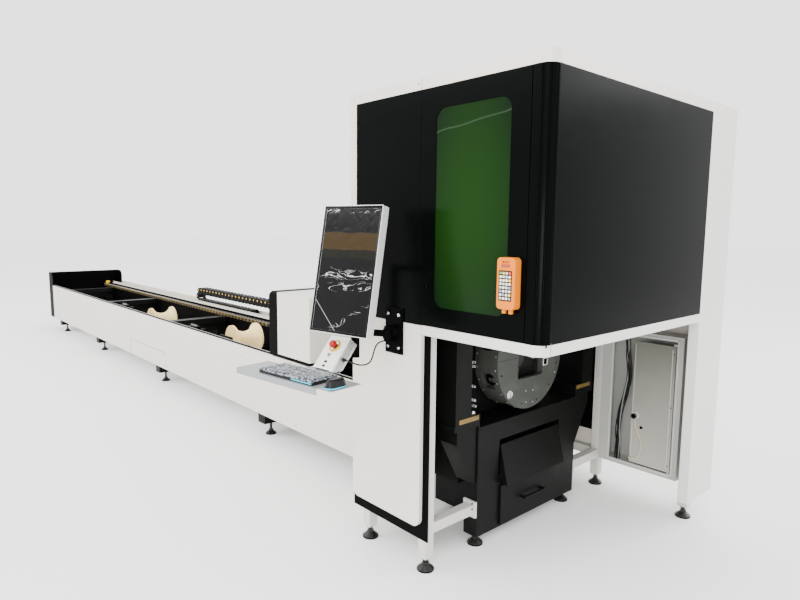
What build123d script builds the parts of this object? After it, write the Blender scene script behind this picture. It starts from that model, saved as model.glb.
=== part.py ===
from build123d import *
import math
import os

# Tube laser cutting machine: a long low loading bed on the left, a tall
# enclosed cutting cabinet on the right.  Lengths in millimetres.
# Origin on the floor under the middle of the machine's box.  +X runs along
# the bed towards the cabinet's end face, the operator stands at -Y, +Z is up.

# Overall sizes
total_length = 9200.0
cabinet_length = 1144.0
cabinet_depth = 1676.0
cabinet_height = 2220.0
tray_reach = 564.0
line_from_front = 790.0
line_z = 915.0

end_x = total_length / 2
bed_end_x = -total_length / 2
cabinet_left_x = end_x - cabinet_length
front_y = (tray_reach - cabinet_depth) / 2
rear_y = front_y + cabinet_depth
line_y = front_y + line_from_front

# Running and seating clearances
seat_gap = 0.3
pin_gap = 0.05
panel_gap = 4.0

# Sheet metal
sheet = 2.5
panel_fold = 25.0
frame_tube = 50.0
frame_wall = 4.0

# Levelling feet
foot_radius = 40.0
foot_pad_height = 10.0
foot_neck_radius = 18.0
foot_neck_height = 28.0
foot_stem_radius = 10.0
cabinet_leg_bottom = 63.0
base_bottom = 60.0
stand_bottom = 100.0

# Loading bed
bed_width = 860.0
bed_panel_bottom = 180.0
bed_panel_top = 660.0
bed_seams = (-3900.0, -6730.0)
beam_width = 80.0
beam_height = 280.0
beam_top = 610.0
beam_wall = 8.0
beam_inset = 20.0
beam_end_inset = 90.0
rim_bar = 12.0
stand_shares = (0.213, 0.475, 0.727, 0.949)
stand_width = 100.0
stand_height = 80.0
cross_member_height = 60.0
cross_member_web = 10.0
stand_foot_inset = 80.0

bed_front_y = line_y - bed_width / 2
bed_rear_y = line_y + bed_width / 2
bed_left_x = bed_end_x + beam_end_inset

# Guide rails and rack on the side beams
rail_width = 34.0
rail_height = 30.0
rail_waist = 4.0
rack_width = 24.0
rack_height = 30.0

# End cap of the bed
cap_height = 850.0
cap_depth = 215.0
cap_thickness = 30.0
cap_bevel = 57.0

# Chain tray and energy chain along the rear of the bed
chain_width = 90.0
chain_link_height = 85.0
chain_pitch = 80.0
chain_groove = 3.0
chain_outer_radius = 111.0
tray_floor_z = 617.0
tray_wall_top = 686.0
tray_clearance = 20.0
chain_bend_from_end = 5890.0
chain_fixed_from_end = 4500.0

# Cabinet skin
rim_height = 48.0
side_rim = 44.0
corner_radius = 50.0
post_front_width = 80.0
post_end_width = 55.0
hood_bottom = 1122.0
bottom_rim_height = 43.0
bottom_rim_depth = 25.0
border_thickness = 5.0
lower_panel_depth = 20.0
lower_panel_round = 40.0
lower_panel_base = 218.0
lower_panel_left = 1130.0
lower_panel_edge = 636.0
lower_panel_bottom = 155.0
lower_panel_right = 598.0
fixed_panel_right = 651.0
pillar_bottom = 136.0
pillar_width = 306.0
pillar_depth = 50.0

# Front door
door_thickness = 22.0
window_left = 561.0
window_right = 172.0
window_bottom = 1253.0
window_top = 2082.0
window_corner = 50.0
window_rebate = 12.0
window_thickness = 8.0
hinge_inset = 8.0
hinge_pin_radius = 4.0
hinge_pin_length = 10.0

# Machine base and gantry inside the cabinet
base_face_from_end = 600.0
base_length = 450.0
base_half = 427.0
base_front_depth = 85.0
base_front_top = 343.0
base_leg_width = 164.0
base_portal_depth = 110.0
base_portal_recess = 130.0
base_beam_bottom = 528.0
base_body_bottom = 300.0
base_shelf_z = (635.0, 665.0)
base_shelf_half = 600.0
base_saddle_half = 419.0
base_saddle_z = 625.0
column_width = 110.0
column_edge = 6.0
column_plate_width = 176.0
column_plate_height = 30.0
column_depth = 180.0
column_top = 1900.0
beam_section = 160.0
beam_bottom = 1690.0

# Front chuck
chuck_radius = 275.0
chuck_window = 212.0
chuck_window_corner = 14.0
chuck_face_from_end = 617.0
drum_length = 150.0
drum_face_plate = 30.0
housing_length = 150.0
housing_half = 310.0
journal_radius = 200.0
journal_gap = 0.06
jaw_width = 46.0
jaw_length = 150.0
jaw_thickness = 34.0
jaw_roller_radius = 17.0
jaw_opening = 62.0

# Rear chuck carriage
carriage_left_from_end = 2565.0
carriage_plate = 115.0
carriage_length = 520.0
carriage_bottom = 672.0
carriage_top = 1130.0
carriage_front = 345.0
carriage_rear = 1195.0
rear_drum_radius = 170.0
rear_bore_radius = 42.0
snout_radius = 62.0
snout_reach = 45.0
bearing_radius = 140.0

# Tube supports in the bed
support_distances = (3800.0, 5810.0)
roller_flange_radius = 128.0
roller_waist_radius = 62.0
roller_length = 255.0
roller_flange = 18.0
roller_axis_z = 503.0
support_raised = (57.0, 0.0)
roller_bore = 15.0
axle_radius = 14.94
lift_plate = 16.0

# Cutting head
head_x_from_end = 430.0
head_radius = 45.0
nozzle_z = 1235.0

# Control console.  Places are distances back from the end face, out from the
# cabinet's front face, and up from the floor.
bracket_left = 869.0
bracket_right = 752.0
bracket_bottom = 1012.0
bracket_top = 1225.0
bracket_thickness = 8.0
bracket_bolt_inset = 17.0
bracket_bolt_radius = 7.0
bracket_bolt_height = 5.0
pivot_from_end = 810.0
pivot_out = 45.0
pivot_radius = 8.0
knuckle_radius = 18.0
knuckle_height = 44.0
lug_thickness = 12.0
arm_z = 1108.0
arm_radius = 16.0
hub_from_end = 955.0
hub_out = 120.0
hub_radius = 20.0
console_turn = 7.0
box_from_end = 968.0
box_out = 250.0
box_face_z = 1015.0
box_lean = 41.8
box_width = 127.0
box_depth = 55.0
box_face_down = 80.0
box_face_up = 95.0
tray_from_end = 933.0
tray_left = 358.0
tray_right = 272.0
tray_lip_right = 194.0
tray_front = 105.0
tray_rear = 75.0
tray_top = 945.0
tray_lip = 28.0
tray_sheet = 3.0
keyboard_size = (360.0, 150.0, 20.0)
keyboard_place = (-28.0, -16.0)
mouse_size = (62.0, 105.0, 38.0)
mouse_place = (238.0, -36.0)
monitor_from_end = 818.0
monitor_out = 280.0
monitor_z = 1411.0
monitor_turn = 11.0
monitor_lean = 11.0
monitor_width = 334.0
monitor_height = 559.0
monitor_thickness = 42.0
tilt_axis_behind = 38.0
tilt_pin_radius = 6.0

# Electrical cabinet under the hood, at the back
switch_right_from_end = 130.0
switch_depth = 153.5
switch_z = (180.0, 1000.0)
switch_open_from_end = (540.0, 166.0)
switch_lip = 28.0
switch_door_from_end = (413.0, 172.0)
switch_door_z = (215.0, 945.0)
switch_door_thickness = 15.0
knob_from_end = 387.0
knob_z = 503.0
lock_hole_from_end = 347.0
lock_hole_z = 437.0

# Cords
console_cable_radius = 3.5
harness_radius = 15.0
lock_cable_radius = 2.5

os.makedirs("parts", exist_ok=True)


def block(x, y, z, mode=Mode.ADD):
    """A plain block that fills a span along each axis."""
    centre = ((x[0] + x[1]) / 2, (y[0] + y[1]) / 2, (z[0] + z[1]) / 2)
    with Locations(centre):
        Box(x[1] - x[0], y[1] - y[0], z[1] - z[0], mode=mode)


def square_tube(x, y, z, run, wall):
    """An open rectangular tube whose bore runs along the named axis."""
    block(x, y, z)
    inner = {
        "x": (x, (y[0] + wall, y[1] - wall), (z[0] + wall, z[1] - wall)),
        "y": ((x[0] + wall, x[1] - wall), y, (z[0] + wall, z[1] - wall)),
        "z": ((x[0] + wall, x[1] - wall), (y[0] + wall, y[1] - wall), z),
    }[run]
    block(*inner, mode=Mode.SUBTRACT)


def folded_panel(x, y, z, open_side, thickness=sheet):
    """A sheet panel with its four edges folded back towards the open side."""
    inner_x = [x[0] + thickness, x[1] - thickness]
    inner_y = [y[0] + thickness, y[1] - thickness]
    inner_z = [z[0] + thickness, z[1] - thickness]
    spans = {"x": (inner_x, x), "y": (inner_y, y), "z": (inner_z, z)}
    inner, outer = spans[open_side[1]]
    if open_side[0] == "+":
        inner[1] = outer[1]
    else:
        inner[0] = outer[0]
    block(x, y, z)
    block(inner_x, inner_y, inner_z, mode=Mode.SUBTRACT)


def levelling_foot(x, y, top):
    """A round pad, a cone and a threaded stem that meets the leg above."""
    with BuildSketch(Plane((x, y, 0), x_dir=(1, 0, 0), z_dir=(0, -1, 0))) as profile:
        with BuildLine():
            Polyline(
                (0, 0),
                (foot_radius, 0),
                (foot_radius, foot_pad_height),
                (foot_neck_radius, foot_neck_height),
                (foot_stem_radius, foot_neck_height),
                (foot_stem_radius, top),
                (0, top),
                close=True,
            )
        make_face()
    revolve(profile.sketch, axis=Axis((x, y, 0), (0, 0, 1)))


def radial_points(count, radius, start=0.0):
    """Points evenly spaced on a circle in the current plane."""
    step = 360.0 / count
    return [
        (radius * math.cos(math.radians(start + step * i)),
         radius * math.sin(math.radians(start + step * i)))
        for i in range(count)
    ]


base_front_y = line_y - base_half
base_rear_y = line_y + base_half

# Bed: two long side beams, each an open rectangular tube with a raised bar
# along its outer edge that the white side panels hang on.
beam_front_y = (bed_front_y + beam_inset, bed_front_y + beam_inset + beam_width)
beam_rear_y = (bed_rear_y - beam_inset - beam_width, bed_rear_y - beam_inset)
base_x = (end_x - base_face_from_end - base_length, end_x - base_face_from_end)
beam_x = (bed_left_x, base_x[0])
beam_z = (beam_top - beam_height, beam_top)

with BuildPart() as bed_side_beams:
    for span_y, bar_y in (
        (beam_front_y, (beam_front_y[0], beam_front_y[0] + rim_bar)),
        (beam_rear_y, (beam_rear_y[1] - rim_bar, beam_rear_y[1])),
    ):
        square_tube(beam_x, span_y, beam_z, "x", beam_wall)
        block(beam_x, bar_y, (beam_top, bed_panel_top))

# Cross frames under and between the beams: a lower tube that stands on two
# feet, a post under each beam, a windowed web and an upper cross member.
stand_z = (stand_bottom, stand_bottom + stand_height)
stand_y = (beam_front_y[0], beam_rear_y[1])
stand_centres = [base_x[0] - share * (base_x[0] - bed_left_x) for share in stand_shares]
cross_member_z = (beam_top - cross_member_height, beam_top)

with BuildPart() as bed_cross_frames:
    for centre in stand_centres:
        wide = (centre - stand_width / 2, centre + stand_width / 2)
        thin = (centre - cross_member_web / 2, centre + cross_member_web / 2)
        block(wide, stand_y, stand_z)
        for post_y in (beam_front_y, beam_rear_y):
            block(wide, post_y, (stand_z[1], beam_z[0]))
        between = (beam_front_y[1], beam_rear_y[0])
        block(thin, between, (stand_z[1], cross_member_z[0]))
        block(wide, between, cross_member_z)
        block(thin, (between[0] + stand_width, between[1] - stand_width),
              (stand_z[1] + stand_height, cross_member_z[0] - stand_height), mode=Mode.SUBTRACT)

# White side panels: folded sheets between the seams
panel_depth = beam_inset
panel_edges = [cabinet_left_x] + [end_x + seam for seam in bed_seams] + [bed_end_x + cap_depth]
panel_joint_gap = 3.0
bed_panel_z = (bed_panel_bottom, bed_panel_top)
panel_spans = [
    (left, right - panel_joint_gap)
    for right, left in zip(panel_edges, panel_edges[1:])
]

with BuildPart() as bed_side_panels:
    for span in panel_spans:
        folded_panel(span, (bed_front_y, bed_front_y + panel_depth), bed_panel_z, "+y")
        folded_panel(span, (bed_rear_y - panel_depth, bed_rear_y), bed_panel_z, "-y")

# End cap: a taller plate across the end of the bed and its chain tray, with
# full-height cheeks that run back to the ends of the side panels.
tray_y = (bed_rear_y, bed_rear_y + chain_width + 2 * tray_clearance + 2 * sheet)
cap_y = (bed_front_y, tray_y[1])
with BuildPart() as bed_end_cap:
    block((bed_end_x, bed_end_x + cap_thickness), cap_y, (bed_panel_bottom, cap_height))
    cheek_x = (bed_end_x + cap_thickness, bed_end_x + cap_depth)
    for cheek_y in ((cap_y[0], cap_y[0] + beam_inset), (cap_y[1] - beam_inset, cap_y[1])):
        with BuildSketch(Plane.XZ.offset(-cheek_y[0])):
            with BuildLine():
                Polyline(
                    (cheek_x[0], bed_panel_bottom),
                    (cheek_x[1], bed_panel_bottom),
                    (cheek_x[1], cap_height - cap_bevel),
                    (cheek_x[1] - cap_bevel, cap_height),
                    (cheek_x[0], cap_height),
                    close=True,
                )
            make_face()
        extrude(amount=cheek_y[0] - cheek_y[1])

# Guide rails with a waisted section, bolted along both beams
rail_centres = (
    (beam_front_y[0] + rim_bar + beam_front_y[1]) / 2,
    (beam_rear_y[0] + rack_width + beam_rear_y[1] - rim_bar) / 2,
)
with BuildPart() as carriage_rails:
    for centre in rail_centres:
        with BuildSketch(Plane.YZ.offset(beam_x[0])):
            with BuildLine():
                half = rail_width / 2
                waist = half - rail_waist
                Polyline(
                    (centre - half, beam_top),
                    (centre + half, beam_top),
                    (centre + half, beam_top + rail_height * 0.35),
                    (centre + waist, beam_top + rail_height * 0.5),
                    (centre + half, beam_top + rail_height * 0.7),
                    (centre + half, beam_top + rail_height),
                    (centre - half, beam_top + rail_height),
                    (centre - half, beam_top + rail_height * 0.7),
                    (centre - waist, beam_top + rail_height * 0.5),
                    (centre - half, beam_top + rail_height * 0.35),
                    close=True,
                )
            make_face()
    extrude(amount=beam_x[1] - beam_x[0])

with BuildPart() as gear_rack:
    block(beam_x, (beam_rear_y[0], beam_rear_y[0] + rack_width), (beam_top, beam_top + rack_height))
    chamfer(gear_rack.edges().filter_by(Axis.X).group_by(Axis.Z)[-1], 2)

# Chain tray behind the bed, and the energy chain that lies in it: a short
# lower run, the bend that rolls along, and the upper run to the carriage.
chain_y = (tray_y[0] + sheet + tray_clearance, tray_y[1] - sheet - tray_clearance)
tray_x = (bed_end_x + cap_depth + panel_joint_gap, cabinet_left_x - 2 * frame_tube)
with BuildPart() as chain_tray:
    block(tray_x, tray_y, (tray_floor_z - 2 * sheet, tray_wall_top))
    block(tray_x, (tray_y[0] + sheet, tray_y[1] - sheet), (tray_floor_z, tray_wall_top), mode=Mode.SUBTRACT)

chain_bottom = tray_floor_z + seat_gap
chain_top = chain_bottom + 2 * chain_outer_radius
bend_x = end_x - chain_bend_from_end + chain_outer_radius
bend_z = chain_bottom + chain_outer_radius
chain_fixed_x = end_x - chain_fixed_from_end
chain_mid_y = (chain_y[0] + chain_y[1]) / 2


def chain_run(start, stop, bottom):
    """A straight run of links: one bar with a groove between two links."""
    block((start, stop), chain_y, (bottom, bottom + chain_link_height))
    count = int((stop - start) // chain_pitch)
    middle = start + (count + 1) * chain_pitch / 2
    side = (chain_y[1] - chain_y[0]) / 2
    with Locations((middle, chain_mid_y, bottom + chain_link_height / 2)):
        for offset_y in (-side, side):
            with Locations((0, offset_y, 0)):
                with GridLocations(chain_pitch, 1, count, 1):
                    Box(chain_groove, 2 * chain_groove, chain_link_height, mode=Mode.SUBTRACT)


with BuildPart() as chain_lower_run:
    chain_run(bend_x, chain_fixed_x, chain_bottom)

carriage_x = (end_x - carriage_left_from_end, end_x - carriage_left_from_end + carriage_length)
with BuildPart() as chain_upper_run:
    chain_run(bend_x, carriage_x[0], chain_top - chain_link_height)

with BuildPart() as chain_bend:
    with BuildSketch(Plane.XZ.offset(-chain_y[0])):
        with Locations((bend_x, bend_z)):
            Circle(chain_outer_radius)
            Circle(chain_outer_radius - chain_link_height, mode=Mode.SUBTRACT)
        with Locations((bend_x + chain_outer_radius, bend_z)):
            Rectangle(2 * chain_outer_radius, 4 * chain_outer_radius, mode=Mode.SUBTRACT)
    extrude(amount=-(chain_y[1] - chain_y[0]))

# Cabinet posts: five full-height square tubes on feet
post_front_y = (front_y + bottom_rim_depth, front_y + bottom_rim_depth + frame_tube)
post_rear_y = (rear_y - 156.0, rear_y - 156.0 + frame_tube)
inner_post_x = (end_x - 663.0, end_x - 663.0 + frame_tube)
left_post_x = (end_x - 1071.0, end_x - 1071.0 + frame_tube)
pillar_post_x = (end_x - pillar_depth - frame_tube, end_x - pillar_depth)
pillar_post_y = (rear_y - 190.0, rear_y - 190.0 + frame_tube)
roof_under = cabinet_height - sheet
post_z = (cabinet_leg_bottom, roof_under)
post_places = (
    (inner_post_x, post_front_y),
    (left_post_x, post_front_y),
    (inner_post_x, post_rear_y),
    (left_post_x, post_rear_y),
    (pillar_post_x, pillar_post_y),
)
leg_plate = 6.0
with BuildPart() as cabinet_posts:
    for post_x, post_y in post_places:
        square_tube(post_x, post_y, post_z, "z", frame_wall)
        block(post_x, post_y, (cabinet_leg_bottom, cabinet_leg_bottom + leg_plate))

# Horizontal frame tubes between the posts and down to the machine base
low_rail_z = (180.0, 180.0 + frame_tube)
sill_z = (hood_bottom + bottom_rim_height - frame_tube, hood_bottom + bottom_rim_height)
top_rail_z = (cabinet_height - rim_height - frame_tube, cabinet_height - rim_height)
end_plate = 12.0
plate_overhang = 16.0
with BuildPart() as cabinet_rails:
    square_tube(inner_post_x, (post_front_y[1], base_front_y - end_plate), low_rail_z, "y", frame_wall)
    square_tube(inner_post_x, (base_rear_y + end_plate, post_rear_y[0]), low_rail_z, "y", frame_wall)
    for plate_y in ((base_front_y - end_plate, base_front_y), (base_rear_y, base_rear_y + end_plate)):
        block((inner_post_x[0] - plate_overhang, base_x[1]),
              plate_y, (low_rail_z[0] - plate_overhang, low_rail_z[1] + plate_overhang))
    for rail_y in (post_front_y, post_rear_y):
        square_tube((left_post_x[1], inner_post_x[0]), rail_y, low_rail_z, "x", frame_wall)
        square_tube((left_post_x[1], inner_post_x[0]), rail_y, sill_z, "x", frame_wall)
        square_tube((left_post_x[1], inner_post_x[0]), rail_y, top_rail_z, "x", frame_wall)
    for rail_x in (inner_post_x, left_post_x):
        square_tube(rail_x, (post_front_y[1], post_rear_y[0]), top_rail_z, "y", frame_wall)
    square_tube((inner_post_x[1], pillar_post_x[0]), (pillar_post_y[0], post_rear_y[1]),
                top_rail_z, "x", frame_wall)

# All the levelling feet
cabinet_feet = [((x[0] + x[1]) / 2, (y[0] + y[1]) / 2) for x, y in post_places]
stand_feet = [
    (x, y) for x in stand_centres
    for y in (stand_y[0] + stand_foot_inset, stand_y[1] - stand_foot_inset)
]
base_foot_inset = 45.0
rear_foot_inset = 110.0
rear_foot_half = 200.0
base_feet = [
    (base_x[1] - base_foot_inset, base_front_y + base_foot_inset),
    (base_x[1] - base_foot_inset, base_rear_y - base_foot_inset),
    (base_x[0] + rear_foot_inset, line_y - rear_foot_half),
    (base_x[0] + rear_foot_inset, line_y + rear_foot_half),
]
with BuildPart() as levelling_feet:
    for places, top in ((cabinet_feet, cabinet_leg_bottom), (stand_feet, stand_bottom),
                        (base_feet, base_bottom)):
        for x, y in places:
            levelling_foot(x, y, top)


def rim_band(z, depth, start_x, stop_y):
    """A band of one depth that follows the cabinet's front, rounded corner and end."""
    with BuildSketch(Plane.XY.offset(z[0])) as band:
        with BuildLine():
            inner_radius = corner_radius - depth
            Line((start_x, front_y), (end_x - corner_radius, front_y))
            RadiusArc((end_x - corner_radius, front_y), (end_x, front_y + corner_radius), -corner_radius)
            Line((end_x, front_y + corner_radius), (end_x, stop_y))
            Line((end_x, stop_y), (end_x - depth, stop_y))
            Line((end_x - depth, stop_y), (end_x - depth, front_y + corner_radius))
            RadiusArc((end_x - depth, front_y + corner_radius), (end_x - corner_radius, front_y + depth),
                      inner_radius)
            Line((end_x - corner_radius, front_y + depth), (start_x, front_y + depth))
            Line((start_x, front_y + depth), (start_x, front_y))
        make_face()
    extrude(band.sketch, amount=z[1] - z[0])


# Hood: the white bottom rim is a channel that opens inwards, the roof a pan
# with the same plan outline and an inner lip for the door's upper pin.
pillar_y = (rear_y - pillar_width, rear_y)
hood_z = (hood_bottom + bottom_rim_height, cabinet_height - rim_height)
fixed_panel_x = (cabinet_left_x + side_rim, end_x - fixed_panel_right)
lower_panel_x = (end_x - lower_panel_left, end_x - lower_panel_edge)
rim_start_x = lower_panel_x[1] + panel_gap / 2
door_x = (fixed_panel_x[1] + panel_gap / 2, end_x - post_front_width - panel_gap)
hinge_x = door_x[1] - hinge_inset
hinge_y = front_y + hinge_inset

with BuildPart() as bottom_rim:
    rim_band((hood_bottom, hood_z[0]), sheet, rim_start_x, pillar_y[0])
    rim_band((hood_bottom, hood_bottom + sheet), bottom_rim_depth, rim_start_x, pillar_y[0])
    rim_band((hood_z[0] - sheet, hood_z[0]), bottom_rim_depth, rim_start_x, pillar_y[0])
    with Locations((hinge_x, hinge_y, hood_z[0])):
        Cylinder(hinge_pin_radius + pin_gap, 4 * sheet, mode=Mode.SUBTRACT)


def plan_outline(inset):
    """The cabinet's plan outline, drawn in by one distance on every side."""
    with Locations(((cabinet_left_x + end_x) / 2, (front_y + rear_y) / 2)):
        Rectangle(cabinet_length - 2 * inset, cabinet_depth - 2 * inset)
    fillet(vertices().group_by(Axis.X)[-1].sort_by(Axis.Y)[0], corner_radius - inset)


with BuildPart() as cabinet_roof:
    with BuildSketch(Plane.XY.offset(hood_z[1])):
        plan_outline(0)
    extrude(amount=rim_height)
    with BuildSketch(Plane.XY.offset(hood_z[1] + sheet)):
        plan_outline(sheet)
    extrude(amount=rim_height - 2 * sheet, mode=Mode.SUBTRACT)
    with BuildSketch(Plane.XY.offset(hood_z[1])):
        plan_outline(bottom_rim_depth)
    extrude(amount=sheet, mode=Mode.SUBTRACT)
    with Locations((hinge_x, hinge_y, hood_z[1])):
        Cylinder(hinge_pin_radius + pin_gap, 4 * sheet, mode=Mode.SUBTRACT)

# Front skin: the fixed black upper panel, the white lower panel with rounded
# lower corners, and the black border plate behind it.
with BuildPart() as front_upper_panel:
    folded_panel(fixed_panel_x, (front_y, post_front_y[0]), hood_z, "+y")

lower_panel_z = (lower_panel_base, hood_z[0] - panel_gap / 2)
with BuildPart() as front_lower_panel:
    with BuildSketch(Plane.XZ.offset(-front_y)):
        with Locations(((lower_panel_x[0] + lower_panel_x[1]) / 2, (lower_panel_z[0] + lower_panel_z[1]) / 2)):
            Rectangle(lower_panel_x[1] - lower_panel_x[0], lower_panel_z[1] - lower_panel_z[0])
        fillet(vertices().group_by(Axis.Y)[0], lower_panel_round)
    extrude(amount=-lower_panel_depth)
    offset(amount=-sheet, openings=front_lower_panel.faces().sort_by(Axis.Y)[-1])

border_y = (front_y + lower_panel_depth, front_y + lower_panel_depth + border_thickness)
border_x = (cabinet_left_x, end_x - lower_panel_right)
with BuildPart() as panel_border:
    block(border_x, border_y, (lower_panel_bottom, hood_bottom))

# Left wall: a deep folded panel whose front fold shows as the white rim, with
# a portal for the bed, the tube and the chuck carriage.
portal_y = (bed_front_y - 15.0, tray_y[1] + 15.0)
portal_top = carriage_top + 60.0
with BuildPart() as cabinet_left_wall:
    folded_panel((cabinet_left_x, fixed_panel_x[0]), (front_y, rear_y), (lower_panel_bottom, hood_z[1]), "+x")
    block((cabinet_left_x, fixed_panel_x[0]), (front_y, border_y[1]), (lower_panel_bottom, hood_z[0]),
          mode=Mode.SUBTRACT)
    block((cabinet_left_x, fixed_panel_x[0]), portal_y, (lower_panel_bottom, portal_top), mode=Mode.SUBTRACT)

# Rounded corner post: a hollow profile with shallow upright flutes
flute_radius = 4.0
with BuildPart() as corner_post:
    rim_band(hood_z, bottom_rim_depth, end_x - post_front_width, front_y + post_end_width)
    arc_centre = (end_x - corner_radius, front_y + corner_radius)
    with Locations((arc_centre[0], arc_centre[1], (hood_z[0] + hood_z[1]) / 2)):
        with PolarLocations(corner_radius, 3, -75, 60, endpoint=True):
            Cylinder(flute_radius, hood_z[1] - hood_z[0], mode=Mode.SUBTRACT)

# End face: black panel, and a white pillar panel down to the floor at the back
with BuildPart() as end_panel:
    folded_panel((end_x - panel_fold, end_x), (front_y + post_end_width, pillar_y[0]), hood_z, "-x")

with BuildPart() as rear_corner_panel:
    folded_panel((end_x - pillar_depth, end_x), pillar_y, (pillar_bottom, hood_z[1]), "-x")

# Back of the cabinet: a full-height folded sheet with two rows of louvres
louvre = (180.0, 12.0)
louvre_pitch = 40.0
louvre_rows = 8
back_x = (fixed_panel_x[0], end_x - pillar_depth)
back_y = (rear_y - panel_fold, rear_y)
with BuildPart() as cabinet_back_panel:
    folded_panel(back_x, back_y, (lower_panel_bottom, hood_z[1]), "-y")
    with Locations(Plane.XZ.offset(-rear_y)):
        with Locations(((back_x[0] + back_x[1]) / 2, (hood_z[0] + hood_z[1]) / 2)):
            with GridLocations(2 * louvre[0], louvre_pitch, 2, louvre_rows):
                Box(louvre[0], louvre[1], 3 * sheet, mode=Mode.SUBTRACT)

# Front door: folded black sheet with a rounded window, lock holes and two
# hinge pins that turn in the rims; the pane sits behind the sheet.
door_z = (hood_z[0] + panel_gap / 2, hood_z[1] - panel_gap / 2)
door_y = (front_y, front_y + door_thickness)
window_centre = (end_x - (window_left + window_right) / 2, (window_bottom + window_top) / 2)
window_size = (window_left - window_right, window_top - window_bottom)
lock_holes = ((end_x - 606.0, 1997.0), (end_x - 614.0, 1342.0))
lock_radius = 7.0
with BuildPart() as door_panel:
    folded_panel(door_x, door_y, door_z, "+y")
    with BuildSketch(Plane.XZ.offset(-front_y)):
        with Locations(window_centre):
            RectangleRounded(window_size[0], window_size[1], window_corner)
        with Locations(*lock_holes):
            Circle(lock_radius)
    extrude(amount=-sheet, mode=Mode.SUBTRACT)
    for pin_z in door_z:
        with Locations((hinge_x, hinge_y, pin_z)):
            Cylinder(hinge_pin_radius, hinge_pin_length)

with BuildPart() as door_window:
    with BuildSketch(Plane.XZ.offset(-(front_y + sheet))):
        with Locations(window_centre):
            RectangleRounded(window_size[0] + 2 * window_rebate, window_size[1] + 2 * window_rebate,
                             window_corner + window_rebate)
    extrude(amount=-window_thickness)

# Hand remote that hangs on the door: rounded case, strap slot, keypad with
# rows of keys, and two short stubs at its lower end.
remote_x = (end_x - 191.0, end_x - 106.0)
remote_z = (1290.0, 1486.0)
remote_depth = 38.0
remote_corner = 16.0
keypad_size = (62.0, 116.0)
keypad_recess = 2.0
key_columns = 4
key_rows = 8
key_pitch = (14.0, 13.6)
key_size = (10.0, 9.0)
key_height = 3.0
stub_radius = 9.0
stub_length = 16.0
remote_middle = ((remote_x[0] + remote_x[1]) / 2, (remote_z[0] + remote_z[1]) / 2)
with BuildPart() as remote_control:
    with BuildSketch(Plane.XZ.offset(-front_y)):
        with Locations(remote_middle):
            RectangleRounded(remote_x[1] - remote_x[0], remote_z[1] - remote_z[0], remote_corner)
    extrude(amount=remote_depth)
    fillet(remote_control.faces().sort_by(Axis.Y)[0].edges(), 5)
    with BuildSketch(Plane.XZ.offset(-front_y + remote_depth)):
        with Locations((remote_middle[0], remote_z[1] - 17.0)):
            SlotOverall(36, 9)
    extrude(amount=-8, mode=Mode.SUBTRACT)
    keypad_centre = (remote_middle[0], remote_middle[1] - 8.0)
    with BuildSketch(Plane.XZ.offset(-front_y + remote_depth)):
        with Locations(keypad_centre):
            RectangleRounded(keypad_size[0], keypad_size[1], 6)
    extrude(amount=-keypad_recess, mode=Mode.SUBTRACT)
    with BuildSketch(Plane.XZ.offset(-front_y + remote_depth - keypad_recess)):
        with Locations(keypad_centre):
            with GridLocations(key_pitch[0], key_pitch[1], key_columns, key_rows):
                Rectangle(key_size[0], key_size[1])
    extrude(amount=key_height)
    for offset_x in (-keypad_size[0] / 4, keypad_size[0] / 4):
        with Locations((remote_middle[0] + offset_x, front_y - remote_depth / 2,
                        remote_z[0] - stub_length / 2)):
            Cylinder(stub_radius, stub_length)

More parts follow.
